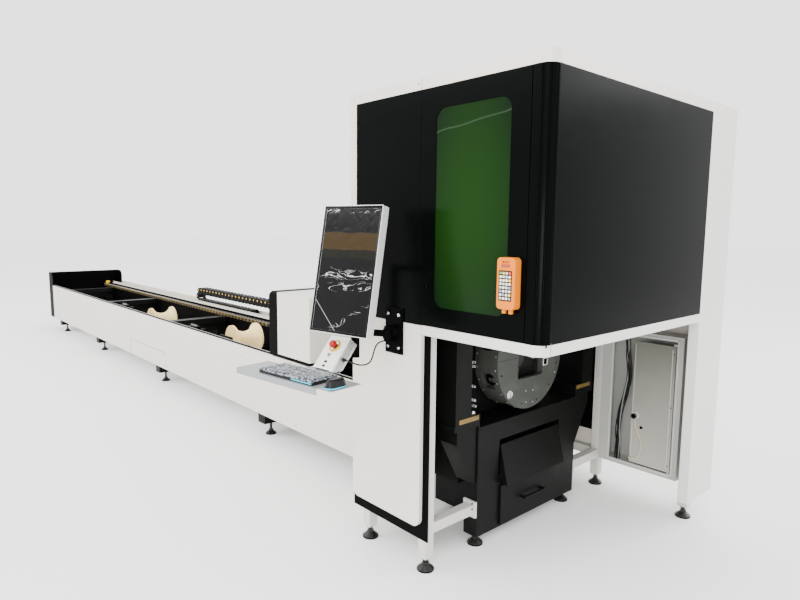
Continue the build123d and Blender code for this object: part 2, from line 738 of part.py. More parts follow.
# Machine base: a deep welded body with a portal frame at its end face, a low
# box with the drawer tunnel, and a shelf on brackets that carries the gantry.
# A slanted scrap chute with two cheeks is welded on above the tunnel.
drawer_half = 240.0
drawer_z = (90.0, 270.0)
drawer_tunnel_depth = 420.0
tunnel_wall = 22.0
chute_half = 252.0
chute_z = (295.0, 500.0)
chute_reach = 50.0
chute_sheet = 4.0
shelf_bracket_reach = 143.0
shelf_bracket_edge = 70.0
shelf_bracket_foot = 20.0
shelf_bracket_inset = 10.0
base_y = (line_y - base_half, line_y + base_half)
tunnel_y = (line_y - drawer_half - tunnel_wall, line_y + drawer_half + tunnel_wall)
with BuildPart() as machine_base:
    block((base_x[0], base_x[1] - base_portal_recess), base_y, (base_body_bottom, base_shelf_z[0]))
    block(base_x, tunnel_y, (base_bottom, base_body_bottom))
    block((base_x[1] - base_front_depth, base_x[1]), base_y, (base_bottom, base_front_top))
    portal_x = (base_x[1] - base_portal_depth, base_x[1])
    for leg_y in ((base_y[0], base_y[0] + base_leg_width), (base_y[1] - base_leg_width, base_y[1])):
        block(portal_x, leg_y, (base_front_top, base_beam_bottom))
    block((base_x[1] - base_portal_recess, base_x[1]), base_y, (base_beam_bottom, base_shelf_z[0]))
    block(base_x, (line_y - base_shelf_half, line_y + base_shelf_half), base_shelf_z)
    block(base_x, (line_y - base_saddle_half, line_y + base_saddle_half),
          (base_saddle_z, base_shelf_z[1]), mode=Mode.SUBTRACT)
    with BuildSketch(Plane.YZ.offset(portal_x[0] - shelf_bracket_inset)):
        with BuildLine():
            Polyline(
                (base_y[0], base_front_top),
                (base_y[0], base_shelf_z[0]),
                (base_y[0] - shelf_bracket_reach, base_shelf_z[0]),
                (base_y[0] - shelf_bracket_reach, base_shelf_z[0] - shelf_bracket_edge),
                (base_y[0] - shelf_bracket_foot, base_front_top),
                close=True,
            )
        make_face()
        mirror(about=Plane.YZ.offset(line_y))
    extrude(amount=base_portal_depth)
    block((base_x[1] - drawer_tunnel_depth, base_x[1]), (line_y - drawer_half, line_y + drawer_half),
          drawer_z, mode=Mode.SUBTRACT)
    for offset_y, width, foot_x in (
        (-chute_half, 2 * chute_half, chute_reach - chute_sheet),
        (-chute_half, chute_sheet, 0.0),
        (chute_half - chute_sheet, chute_sheet, 0.0),
    ):
        with BuildSketch(Plane.XZ.offset(-(line_y + offset_y))):
            with BuildLine():
                Polyline(
                    (base_x[1], chute_z[1]),
                    (base_x[1] + chute_reach, chute_z[0]),
                    (base_x[1] + foot_x, chute_z[0]),
                    (base_x[1], chute_z[1] - 5 * chute_sheet),
                    close=True,
                )
            make_face()
        extrude(amount=-width)

# Scrap drawer: an open tray of sheet behind a front plate with a bar handle
drawer_gap = 3.0
drawer_sheet = 3.0
drawer_depth = 385.0
drawer_front = 12.0
drawer_front_margin = 14.0
drawer_handle = (180.0, 12.0, 34.0)
with BuildPart() as scrap_drawer:
    face_x = base_x[1] + seat_gap
    tray_box_y = (line_y - drawer_half + drawer_gap, line_y + drawer_half - drawer_gap)
    tray_box_z = (drawer_z[0] + seat_gap, drawer_z[1] - 4 * drawer_gap)
    block((face_x - drawer_depth, face_x), tray_box_y, tray_box_z)
    block((face_x - drawer_depth + drawer_sheet, face_x),
          (tray_box_y[0] + drawer_sheet, tray_box_y[1] - drawer_sheet),
          (tray_box_z[0] + drawer_sheet, tray_box_z[1]), mode=Mode.SUBTRACT)
    block((face_x, face_x + drawer_front),
          (line_y - drawer_half - drawer_front_margin, line_y + drawer_half + drawer_front_margin),
          (drawer_z[0] - drawer_front_margin, drawer_z[1] + drawer_front_margin))
    handle_z = (drawer_z[0] + drawer_z[1]) / 2
    handle_path_x = face_x + drawer_front
    with BuildSketch(Plane.XY.offset(handle_z - drawer_handle[1] / 2)):
        with Locations((handle_path_x + drawer_handle[2] / 2, line_y)):
            Rectangle(drawer_handle[2], drawer_handle[0])
            Rectangle(drawer_handle[2] - 2 * drawer_handle[1], drawer_handle[0] - 2 * drawer_handle[1],
                      mode=Mode.SUBTRACT)
        with Locations((handle_path_x, line_y)):
            Rectangle(2 * drawer_handle[1], drawer_handle[0] - 2 * drawer_handle[1], mode=Mode.SUBTRACT)
    extrude(amount=drawer_handle[1])

# Gantry: two square columns on foot plates, with a cross beam between them
column_wall = 10.0
column_x = (base_x[1] - column_depth, base_x[1])
column_reach = base_shelf_half - column_edge
column_spans = (
    (line_y - column_reach, line_y - column_reach + column_width),
    (line_y + column_reach - column_width, line_y + column_reach),
)
column_plates = (
    (line_y - column_reach, line_y - column_reach + column_plate_width),
    (line_y + column_reach - column_plate_width, line_y + column_reach),
)
column_z = (base_shelf_z[1] + column_plate_height, column_top)
beam_x_span = (column_x[1] - beam_section, column_x[1])
with BuildPart() as gantry:
    for span, plate in zip(column_spans, column_plates):
        square_tube(column_x, span, column_z, "z", column_wall)
        block(column_x, plate, (base_shelf_z[1], column_z[0]))
    square_tube(beam_x_span, (column_spans[0][1], column_spans[1][0]),
                (beam_bottom, beam_bottom + beam_section), "y", column_wall)

# Cutting head: a saddle that runs along the beam, and a head on a vertical
# slide with collars, a collimator cap and a conical nozzle.
saddle_size = (70.0, 210.0, 260.0)
saddle_x = (beam_x_span[1] + seat_gap, beam_x_span[1] + seat_gap + saddle_size[0])
saddle_z = (beam_bottom + (beam_section - saddle_size[2]) / 2, beam_bottom + (beam_section + saddle_size[2]) / 2)
head_x = end_x - head_x_from_end
head_plate = 18.0
head_top = 1900.0
with BuildPart() as head_saddle:
    block(saddle_x, (line_y - saddle_size[1] / 2, line_y + saddle_size[1] / 2), saddle_z)
    for offset_y in (-saddle_size[1] / 3, saddle_size[1] / 3):
        block((saddle_x[1], saddle_x[1] + 12.0), (line_y + offset_y - 12.0, line_y + offset_y + 12.0), saddle_z)

with BuildPart() as cutting_head:
    plate_x = saddle_x[1] + 12.0 + seat_gap
    block((plate_x, plate_x + head_plate), (line_y - saddle_size[1] / 2, line_y + saddle_size[1] / 2),
          (saddle_z[0] + 20.0, saddle_z[1] + 20.0))
    block((plate_x + head_plate, head_x), (line_y - head_radius * 0.7, line_y + head_radius * 0.7),
          (saddle_z[0] + 40.0, saddle_z[1]))
    with BuildSketch(Plane((head_x, line_y, 0), x_dir=(1, 0, 0), z_dir=(0, -1, 0))):
        with BuildLine():
            Polyline(
                (0, nozzle_z),
                (4, nozzle_z),
                (14, nozzle_z + 30),
                (14, nozzle_z + 60),
                (head_radius * 0.7, nozzle_z + 90),
                (head_radius * 0.7, nozzle_z + 210),
                (head_radius, nozzle_z + 215),
                (head_radius, nozzle_z + 420),
                (head_radius * 0.8, nozzle_z + 430),
                (head_radius * 0.8, head_top - 40),
                (head_radius * 0.45, head_top - 25),
                (head_radius * 0.45, head_top),
                (0, head_top),
                close=True,
            )
        make_face()
    revolve(axis=Axis((head_x, line_y, 0), (0, 0, 1)))

# Front chuck.  The housing is an upright block with a round top; the drum
# turns in its bore and is a short barrel with windows round its wall, a face
# with a square window, and a hollow journal at the back.
chuck_face_x = end_x - chuck_face_from_end
drum_x = (chuck_face_x - drum_length, chuck_face_x)
housing_x = (drum_x[0] - seat_gap - housing_length, drum_x[0] - seat_gap)
drum_wall = 38.0
drum_back_plate = 25.0
drum_windows = 8
drum_window_width = 96.0
drum_window_margin = 14.0
face_bolts = 12
face_bolt_radius = 6.0
face_bolt_circle = 248.0
journal_bore = 118.0
on_line = Plane((0, line_y, line_z), x_dir=(0, 1, 0), z_dir=(1, 0, 0))

with BuildPart() as front_chuck_housing:
    with BuildSketch(on_line.offset(housing_x[0])):
        with BuildLine():
            bottom = base_saddle_z - line_z
            Line((-housing_half, 0), (-housing_half, bottom))
            Line((-housing_half, bottom), (housing_half, bottom))
            Line((housing_half, bottom), (housing_half, 0))
            RadiusArc((housing_half, 0), (-housing_half, 0), -housing_half)
        make_face()
        Circle(journal_radius + journal_gap, mode=Mode.SUBTRACT)
    extrude(amount=housing_length)

with BuildPart() as front_chuck_drum:
    with BuildSketch(on_line.offset(drum_x[0])):
        Circle(chuck_radius)
    extrude(amount=drum_length)
    with BuildSketch(on_line.offset(drum_x[0] + drum_back_plate)):
        Circle(chuck_radius - drum_wall)
    extrude(amount=drum_length - drum_back_plate - drum_face_plate, mode=Mode.SUBTRACT)
    with BuildSketch(on_line.offset(drum_x[1] - drum_face_plate)):
        RectangleRounded(chuck_window, chuck_window, chuck_window_corner)
        with Locations(*radial_points(face_bolts, face_bolt_circle, 15)):
            Circle(face_bolt_radius)
    extrude(amount=drum_face_plate, mode=Mode.SUBTRACT)
    with Locations(on_line.offset((drum_x[0] + drum_back_plate + drum_x[1] - drum_face_plate) / 2)):
        with PolarLocations(chuck_radius, drum_windows, 360 / drum_windows / 2):
            Box(3 * drum_wall, drum_window_width,
                drum_length - drum_back_plate - drum_face_plate - 2 * drum_window_margin,
                mode=Mode.SUBTRACT)
    with BuildSketch(on_line.offset(housing_x[0])):
        Circle(journal_radius)
    extrude(amount=drum_x[0] - housing_x[0])
    with BuildSketch(on_line.offset(housing_x[0])):
        Circle(journal_bore)
    extrude(amount=drum_x[0] + drum_back_plate - housing_x[0], mode=Mode.SUBTRACT)

# Four jaws: the pair across the line slides behind the face plate, the
# upright pair in front of the back plate, each with a roller at its tip.
jaw_front_x = (chuck_face_x - drum_face_plate - seat_gap - jaw_thickness,
               chuck_face_x - drum_face_plate - seat_gap)
jaw_back_x = (drum_x[0] + drum_back_plate + seat_gap,
              drum_x[0] + drum_back_plate + seat_gap + jaw_thickness)
roller_side = 3.0


def chuck_jaw(x, angle):
    """A sliding jaw that points at the axis from one side, with its tip roller."""
    middle = (x[0] + x[1]) / 2
    outward = Plane((middle, line_y, line_z), x_dir=(0, math.cos(angle), math.sin(angle)), z_dir=(1, 0, 0))
    with Locations(outward * Pos(jaw_opening + jaw_roller_radius + jaw_length / 2, 0, 0)):
        Box(jaw_length, jaw_width, x[1] - x[0])
    with Locations(outward * Pos(jaw_opening + jaw_roller_radius, 0, 0) * Rot(90, 0, 0)):
        Cylinder(jaw_roller_radius, jaw_width - 2 * roller_side)


with BuildPart() as jaw_rear:
    chuck_jaw(jaw_front_x, 0)

with BuildPart() as jaw_front:
    chuck_jaw(jaw_front_x, math.pi)

with BuildPart() as jaw_top:
    chuck_jaw(jaw_back_x, math.pi / 2)

with BuildPart() as jaw_bottom:
    chuck_jaw(jaw_back_x, -math.pi / 2)

# Rear chuck carriage: a thick plate on four rail blocks with side plates in
# front of it, and a white cover over the chuck.
plate_x = (carriage_x[0], carriage_x[0] + carriage_plate)
carriage_y = (front_y + carriage_front, front_y + carriage_rear)
carriage_round = 40.0
block_width = 42.0
block_length = 100.0
block_clearance = 0.5
block_bottom = beam_top + 4.0
roller_passage = 32.0
side_plate = (170.0, 20.0)
chain_bracket = 20.0
cover_round = 18.0
with BuildPart() as carriage_frame:
    with BuildSketch(on_line.offset(plate_x[0])):
        with BuildLine():
            low = carriage_bottom - line_z
            high = carriage_top - line_z
            Polyline(
                (carriage_y[0] - line_y, high),
                (carriage_y[0] - line_y, low),
                (carriage_y[1] - line_y, low),
                (carriage_y[1] - line_y, high),
                close=True,
            )
        make_face()
        fillet(vertices().group_by(Axis.Y)[-1], carriage_round)
        Circle(bearing_radius + journal_gap, mode=Mode.SUBTRACT)
        with Locations((0, carriage_bottom - line_z)):
            Rectangle(roller_length + 2 * roller_passage, 2 * roller_passage, mode=Mode.SUBTRACT)
    extrude(amount=carriage_plate)
    for side_y in ((carriage_y[0], carriage_y[0] + side_plate[0]),
                   (carriage_y[1] - side_plate[0], carriage_y[1])):
        block((plate_x[1], carriage_x[1]), side_y, (carriage_bottom, carriage_bottom + side_plate[1]))
    for centre in rail_centres:
        for block_x in ((carriage_x[0], carriage_x[0] + block_length),
                        (carriage_x[1] - block_length, carriage_x[1])):
            block(block_x, (centre - block_width / 2, centre + block_width / 2),
                  (block_bottom, carriage_bottom))
            block(block_x, (centre - rail_width / 2 - block_clearance, centre + rail_width / 2 + block_clearance),
                  (block_bottom, beam_top + rail_height + seat_gap), mode=Mode.SUBTRACT)
    block((carriage_x[0], carriage_x[0] + chain_bracket), (carriage_y[1], chain_y[1]),
          (chain_top - chain_link_height, chain_top))

with BuildPart() as carriage_cover:
    block((plate_x[1], carriage_x[1]), carriage_y, (carriage_bottom + side_plate[1], carriage_top))
    fillet(carriage_cover.edges().group_by(Axis.X)[-1].group_by(Axis.Z)[-1], cover_round)
    offset(amount=-sheet, openings=[
        carriage_cover.faces().sort_by(Axis.Z)[0],
        carriage_cover.faces().sort_by(Axis.X)[0],
    ])
    with BuildSketch(on_line.offset(carriage_x[1] - 2 * sheet)):
        Circle(snout_radius + 4 * sheet)
    extrude(amount=3 * sheet, mode=Mode.SUBTRACT)

# Rear chuck: a stepped hollow spindle with a slim snout and four fixed pads
rear_drum_front = 75.0
pad_size = (26.0, 22.0, 30.0)
with BuildPart() as rear_chuck_drum:
    for start, stop, radius in (
        (plate_x[0], plate_x[1] + seat_gap, bearing_radius),
        (plate_x[1] + seat_gap, carriage_x[1] - rear_drum_front, rear_drum_radius),
        (carriage_x[1] - rear_drum_front, carriage_x[1] + snout_reach, snout_radius),
    ):
        with BuildSketch(on_line.offset(start)):
            Circle(radius)
        extrude(amount=stop - start)
    with BuildSketch(on_line.offset(plate_x[0])):
        Circle(rear_bore_radius)
    extrude(amount=carriage_x[1] + snout_reach - plate_x[0], mode=Mode.SUBTRACT)
    with Locations(on_line.offset(carriage_x[1] + snout_reach - pad_size[2] / 2)):
        with PolarLocations(rear_bore_radius, 4, 45):
            Box(pad_size[0], pad_size[1], pad_size[2])

# Tube supports: each has a bridge across the trough with an air cylinder, a
# yoke that the cylinder lifts, and a waisted roller that turns on its axle.
bridge_offset = (-205.0, -145.0)
bridge_height = 60.0
bridge_z = (beam_z[0] + 30.0, beam_z[0] + 30.0 + bridge_height)
cylinder_radius = 32.0
cylinder_bottom = 215.0
cylinder_top = 443.0
rod_radius = 14.0
rod_gap = 0.5
rod_bottom = 235.0
yoke_arm = (12.0, 44.0)
yoke_plate_z = (cylinder_top + 6.0, cylinder_top + 6.0 + lift_plate)
yoke_end = 24.0
side_gap = 0.4
bridge_y = (beam_front_y[1], beam_rear_y[0])
yoke_half = roller_length / 2 + side_gap


def tube_support(centre):
    """The fixed bridge and air cylinder of one support."""
    cylinder_x = centre + (bridge_offset[0] + bridge_offset[1]) / 2
    block((centre + bridge_offset[0], centre + bridge_offset[1]), bridge_y, bridge_z)
    with BuildSketch(Plane.XY.offset(cylinder_bottom)) as barrel:
        with Locations((cylinder_x, line_y)):
            Circle(cylinder_radius)
    extrude(barrel.sketch, amount=cylinder_top - cylinder_bottom)
    with BuildSketch(Plane.XY.offset(rod_bottom - 10.0)) as bore:
        with Locations((cylinder_x, line_y)):
            Circle(rod_radius + rod_gap)
    extrude(bore.sketch, amount=cylinder_top, mode=Mode.SUBTRACT)


def lifting_yoke(centre, raised):
    """The moving yoke: rod, cross plate, two arms and the roller's axle."""
    cylinder_x = centre + (bridge_offset[0] + bridge_offset[1]) / 2
    axis_z = roller_axis_z + raised
    plate_z = (yoke_plate_z[0] + raised, yoke_plate_z[1] + raised)
    with BuildSketch(Plane.XY.offset(rod_bottom + raised)) as rod:
        with Locations((cylinder_x, line_y)):
            Circle(rod_radius)
    extrude(rod.sketch, amount=yoke_plate_z[0] - rod_bottom)
    block((cylinder_x - cylinder_radius, cylinder_x + cylinder_radius),
          (line_y - yoke_half - yoke_arm[0], line_y + yoke_half + yoke_arm[0]), plate_z)
    for side in (-1, 1):
        inner = line_y + side * yoke_half
        outer = line_y + side * (yoke_half + yoke_arm[0])
        block((cylinder_x - cylinder_radius, centre + yoke_end), (min(inner, outer), max(inner, outer)),
              (plate_z[0], axis_z + yoke_arm[1] / 2))
    with Locations(Plane((centre, line_y, axis_z), z_dir=(0, 1, 0))):
        Cylinder(axle_radius, 2 * yoke_half)


def waisted_roller(centre, raised):
    """A roller with two flanges and a concave waist between them."""
    axis_z = roller_axis_z + raised
    across = Plane((centre, line_y, axis_z), x_dir=(0, 1, 0), z_dir=(1, 0, 0))
    half = roller_length / 2
    with BuildSketch(across) as profile:
        with BuildLine():
            Polyline(
                (-half + roller_flange, roller_flange_radius),
                (-half, roller_flange_radius),
                (-half, roller_bore),
                (half, roller_bore),
                (half, roller_flange_radius),
                (half - roller_flange, roller_flange_radius),
            )
            ThreePointArc(
                (half - roller_flange, roller_flange_radius),
                (0, roller_waist_radius),
                (-half + roller_flange, roller_flange_radius),
            )
        make_face()
    revolve(profile.sketch, axis=Axis((centre, line_y, axis_z), (0, 1, 0)))


support_centres = [end_x - distance for distance in support_distances]
with BuildPart() as support_cylinders:
    for centre in support_centres:
        tube_support(centre)

with BuildPart() as support_yoke_near:
    lifting_yoke(support_centres[0], support_raised[0])

with BuildPart() as support_yoke_far:
    lifting_yoke(support_centres[1], support_raised[1])

with BuildPart() as roller_near:
    waisted_roller(support_centres[0], support_raised[0])

with BuildPart() as roller_far:
    waisted_roller(support_centres[1], support_raised[1])

# Electrical cabinet: a sheet box between the inner rear post and the back
# panel, with an open front, a lip all round and two hinge ears for its door.
switch_x = (inner_post_x[1], end_x - switch_right_from_end)
switch_y = (rear_y - sheet - switch_depth, rear_y - sheet)
switch_open_x = (end_x - switch_open_from_end[0], end_x - switch_open_from_end[1])
switch_open_z = (switch_z[0] + switch_lip, switch_z[1] - switch_lip)
switch_door_x = (end_x - switch_door_from_end[0], end_x - switch_door_from_end[1])
switch_door_y = (switch_y[0] + sheet, switch_y[0] + sheet + switch_door_thickness)
switch_pin_radius = 3.0
switch_pin_length = 9.0
switch_pin_inset = 5.0
ear_gap = 2.0
ear_height = 10.0
switch_pin_x = switch_door_x[1] - switch_pin_inset
switch_pin_y = switch_door_y[0] + switch_pin_inset
with BuildPart() as electrical_cabinet:
    block(switch_x, switch_y, switch_z)
    block((switch_x[0] + sheet, switch_x[1] - sheet), (switch_y[0] + sheet, switch_y[1] - sheet),
          (switch_z[0] + sheet, switch_z[1] - sheet), mode=Mode.SUBTRACT)
    block(switch_open_x, (switch_y[0], switch_y[0] + sheet), switch_open_z, mode=Mode.SUBTRACT)
    for ear_z in ((switch_door_z[0] - ear_gap - ear_height, switch_door_z[0] - ear_gap),
                  (switch_door_z[1] + ear_gap, switch_door_z[1] + ear_gap + ear_height)):
        block((switch_pin_x - 2 * switch_pin_inset, switch_open_x[1] + 2 * sheet),
              (switch_y[0] + sheet, switch_pin_y + 2 * switch_pin_inset), ear_z)
    for pin_z in switch_door_z:
        with Locations((switch_pin_x, switch_pin_y, pin_z)):
            Cylinder(switch_pin_radius + pin_gap, 4 * switch_pin_length, mode=Mode.SUBTRACT)

# Its door: a folded sheet with a round knob, a lock hole and two hinge pins
knob_radius = 12.0
knob_height = 14.0
knob_neck = 5.0
lead_stand_off = 5.5
lead_lock_from_end = 385.0
lead_clip_from_end = 402.0
lead_clip_z = 240.0
lock_block_z = (479.0, 490.0)
lock_block_half = 6.0
with BuildPart() as electrical_door:
    folded_panel(switch_door_x, switch_door_y, switch_door_z, "+y")
    for place_x, place_z in (
        ((end_x - lead_lock_from_end - lock_block_half, end_x - lead_lock_from_end + lock_block_half),
         lock_block_z),
        ((switch_door_x[0], end_x - lead_clip_from_end),
         (lead_clip_z - lock_block_half, lead_clip_z + lock_block_half)),
    ):
        block(place_x, (switch_door_y[0] - 2 * lead_stand_off, switch_door_y[0]), place_z)
    for pin_z, inward in zip(switch_door_z, (1, -1)):
        with Locations((switch_pin_x, switch_pin_y, pin_z + inward * sheet / 2)):
            Cylinder(switch_pin_radius, 2 * switch_pin_length)
    with Locations(Plane((end_x - knob_from_end, switch_door_y[0], knob_z), z_dir=(0, -1, 0))):
        with Locations((0, 0, knob_neck)):
            Cylinder(knob_radius / 2, 2 * knob_neck)
        with Locations((0, 0, 2 * knob_neck + knob_height / 2)):
            Cylinder(knob_radius, knob_height)
    with Locations(Plane((end_x - lock_hole_from_end, switch_door_y[0], lock_hole_z), z_dir=(0, -1, 0))):
        Cylinder(switch_pin_length, 4 * sheet, mode=Mode.SUBTRACT)

# Inside it: a mounting plate with three rows of breakers and relays on rails
module_rows = (340.0, 560.0, 780.0)
module_size = (18.0, 58.0, 82.0)
module_count = 10
module_pitch = 20.0
din_rail = (35.0, 8.0)
plate_margin = 12.0
mount_plate_x = (switch_door_x[0], switch_x[1] - sheet - plate_margin)
mount_plate_y = (switch_y[1] - 2 * sheet, switch_y[1] - sheet)
with BuildPart() as control_modules:
    block(mount_plate_x, mount_plate_y, (switch_door_z[0], switch_door_z[1]))
    for row_z in module_rows:
        block((mount_plate_x[0] + plate_margin, mount_plate_x[1] - plate_margin),
              (mount_plate_y[0] - din_rail[1], mount_plate_y[0]), (row_z - din_rail[0] / 2, row_z + din_rail[0] / 2))
        with Locations(((mount_plate_x[0] + mount_plate_x[1]) / 2, mount_plate_y[0] - module_size[1] / 2, row_z)):
            with GridLocations(module_pitch, 1, module_count, 1):
                Box(*module_size)
            with GridLocations(module_pitch, 1, module_count, 1):
                with Locations((0, -module_size[1] / 2, 0)):
                    Box(module_size[0] * 0.5, 12.0, 20.0)


def from_corner(back, out, z):
    """A point given by its distance back from the end face and out from the front."""
    return Vector(end_x - back, front_y - out, z)


def turned(angle):
    """Unit vectors along and out of a face that is turned away from the front."""
    along = Vector(math.cos(math.radians(angle)), math.sin(math.radians(angle)), 0)
    outward = Vector(math.sin(math.radians(angle)), -math.cos(math.radians(angle)), 0)
    return along, outward


# Console bracket: a plate on the cabinet's front with four bolts, and two
# lugs that carry the upright pivot pin of the console's arm.
pivot = from_corner(pivot_from_end, pivot_out, arm_z)
bracket_x = (end_x - bracket_left, end_x - bracket_right)
bracket_y = (front_y - bracket_thickness, front_y)
cable_gland_radius = 8.0
cable_gland_length = 12.0
bracket_gland = from_corner(849.0, bracket_thickness, 1068.0)
with BuildPart() as console_bracket:
    block(bracket_x, bracket_y, (bracket_bottom, bracket_top))
    for bolt_x in (bracket_x[0] + bracket_bolt_inset, bracket_x[1] - bracket_bolt_inset):
        for bolt_z in (bracket_bottom + bracket_bolt_inset, bracket_top - bracket_bolt_inset):
            with BuildSketch(Plane.XZ.offset(-bracket_y[0])):
                with Locations((bolt_x, bolt_z)):
                    RegularPolygon(bracket_bolt_radius, 6)
            extrude(amount=bracket_bolt_height)
    for side in (-1, 1):
        lug_near = arm_z + side * (knuckle_height / 2 + seat_gap)
        lug_far = lug_near + side * lug_thickness
        lug_z = (min(lug_near, lug_far), max(lug_near, lug_far))
        block((pivot.X - knuckle_radius, pivot.X + knuckle_radius), (pivot.Y, bracket_y[0]), lug_z)
        with Locations((pivot.X, pivot.Y, (lug_z[0] + lug_z[1]) / 2)):
            Cylinder(knuckle_radius, lug_thickness)
    with Locations(pivot):
        Cylinder(pivot_radius, knuckle_height + 2 * lug_thickness)
    with Locations(Plane(bracket_gland, z_dir=(0, -1, 0))):
        Cylinder(cable_gland_radius, cable_gland_length,
                 align=(Align.CENTER, Align.CENTER, Align.MIN))

# Control box: a grooved aluminium profile that leans back, cut off level where
# it stands on the keyboard tray, with a collar for the emergency stop.
box_along, box_out_level = turned(console_turn)
lean = math.radians(box_lean)
box_normal = box_out_level * math.cos(lean) + Vector(0, 0, 1) * math.sin(lean)
box_face = Plane(from_corner(box_from_end, box_out, box_face_z), x_dir=box_along, z_dir=box_normal)
box_groove = 5.0
stop_place = (-3.0, 43.0)
stop_ring_radius = 22.0
stop_ring_height = 4.0
stop_stem_radius = 8.0
stop_head_radius = 17.0
stop_head_height = 20.0
stop_travel = 5.0
stop_lift = stop_travel + 2.0
key_place = (-7.5, -8.0)
key_radius = 9.0
key_ring_radius = 12.0
key_depth = 20.0
port_places = ((-4.5, -42.0), (-3.0, -64.0))
port_size = (16.0, 8.0)
port_depth = 6.0
box_gland_up = -5.0
with BuildPart() as control_box:
    with BuildSketch(box_face.offset(-box_depth)):
        with Locations((0, (box_face_up - box_face_down) / 2)):
            Rectangle(box_width, box_face_up + box_face_down)
    extrude(amount=box_depth)
    for side in (-1, 1):
        for down in (-box_depth * 0.3, -box_depth * 0.62):
            with Locations(box_face):
                with Locations((side * box_width / 2, (box_face_up - box_face_down) / 2, down)):
                    Box(2 * box_groove, 2 * (box_face_up + box_face_down), 2 * box_groove, mode=Mode.SUBTRACT)
    with BuildSketch(box_face):
        with Locations(stop_place):
            Circle(stop_ring_radius)
    extrude(amount=stop_ring_height)
    with BuildSketch(box_face):
        with Locations(key_place):
            Circle(key_ring_radius)
    extrude(amount=stop_ring_height)
    with BuildSketch(box_face.offset(stop_ring_height)):
        with Locations(stop_place):
            Circle(stop_stem_radius + pin_gap)
        with Locations(key_place):
            Circle(key_radius + pin_gap)
    extrude(amount=-(key_depth + stop_ring_height + stop_travel), mode=Mode.SUBTRACT)
    with BuildSketch(box_face):
        with Locations(*port_places):
            Rectangle(*port_size)
    extrude(amount=-port_depth, mode=Mode.SUBTRACT)
    with Locations(box_face):
        with Locations((box_width / 2, box_gland_up, -box_depth * 0.46)):
            with Locations(Rot(0, 90, 0)):
                Cylinder(cable_gland_radius * 0.7, 2 * cable_gland_length)
    split(bisect_by=Plane.XY.offset(tray_top), keep=Keep.TOP)

with BuildPart() as estop_button:
    with BuildSketch(box_face.offset(stop_ring_height - key_depth)):
        with Locations(stop_place):
            Circle(stop_stem_radius)
    extrude(amount=key_depth + stop_lift)
    with BuildSketch(box_face.offset(stop_ring_height + stop_lift)):
        with Locations(stop_place):
            Circle(stop_head_radius)
    extrude(amount=stop_head_height)
    fillet(estop_button.edges().filter_by(GeomType.CIRCLE).sort_by(
        lambda edge: (edge.center() - box_face.origin).dot(box_normal))[-1], 7)
    fillet(estop_button.edges().filter_by(GeomType.CIRCLE).sort_by(
        lambda edge: edge.radius)[-1], 3)

key_wing = (5.0, 15.0, 9.0)
with BuildPart() as key_switch:
    with BuildSketch(box_face.offset(stop_ring_height - key_depth)):
        with Locations(key_place):
            Circle(key_radius)
    extrude(amount=key_depth + 2.0)
    with BuildSketch(box_face.offset(stop_ring_height + 2.0)):
        with Locations(key_place):
            Rectangle(key_wing[0], key_wing[1])
    extrude(amount=key_wing[2])

# Keyboard tray: a flat sheet with a front lip that stops short of its right
# end, and a rear tongue that the control box stands on.
tray_along = turned(console_turn)[0]
turn = math.radians(console_turn)
tray_out = tray_reach - tray_left * math.sin(turn) - tray_front * math.cos(turn)
tray_plane = Plane(from_corner(tray_from_end, tray_out, tray_top), x_dir=tray_along, z_dir=(0, 0, 1))
tongue_half = box_width / 2 + 6.0
tongue_centre = -52.0
tongue_rear = 175.0
tray_corner = 8.0
with BuildPart() as keyboard_tray:
    with BuildSketch(tray_plane.offset(-tray_sheet)):
        with BuildLine():
            Polyline(
                (-tray_left, -tray_front),
                (tray_lip_right, -tray_front),
                (tray_lip_right, -tray_front + tray_sheet + tray_corner),
                (tray_right, -tray_front + tray_sheet + tray_corner),
                (tray_right, tray_rear),
                (tongue_centre + tongue_half, tray_rear),
                (tongue_centre + tongue_half, tongue_rear),
                (tongue_centre - tongue_half, tongue_rear),
                (tongue_centre - tongue_half, tray_rear),
                (-tray_left, tray_rear),
                close=True,
            )
        make_face()
    extrude(amount=tray_sheet)
    with BuildSketch(tray_plane.offset(-tray_lip)):
        with Locations(((tray_lip_right - tray_left) / 2, -tray_front + tray_sheet / 2)):
            Rectangle(tray_left + tray_lip_right, tray_sheet)
    extrude(amount=tray_lip)

keyboard_rows = 5
keyboard_columns = 16
keyboard_key = 18.0
keyboard_key_pitch = 21.0
keyboard_plane = Plane(tray_plane.from_local_coords((keyboard_place[0], keyboard_place[1], 0)),
                       x_dir=tray_along, z_dir=(0, 0, 1))
key_cap_height = 4.0
with BuildPart() as keyboard:
    with BuildSketch(keyboard_plane):
        RectangleRounded(keyboard_size[0], keyboard_size[1], 8)
    extrude(amount=keyboard_size[2] - key_cap_height)
    with BuildSketch(keyboard_plane.offset(keyboard_size[2] - key_cap_height)):
        with GridLocations(keyboard_key_pitch, keyboard_key_pitch + 4, keyboard_columns, keyboard_rows):
            Rectangle(keyboard_key, keyboard_key)
    extrude(amount=key_cap_height)

mouse_plane = Plane(tray_plane.from_local_coords((mouse_place[0], mouse_place[1], 0)),
                    x_dir=tray_along, z_dir=(0, 0, 1))
with BuildPart() as mouse:
    with BuildSketch(mouse_plane):
        Ellipse(mouse_size[0] / 2, mouse_size[1] / 2)
    extrude(amount=mouse_size[2], taper=14)
    chamfer(mouse.edges().group_by(Axis.Z)[-1], 8)

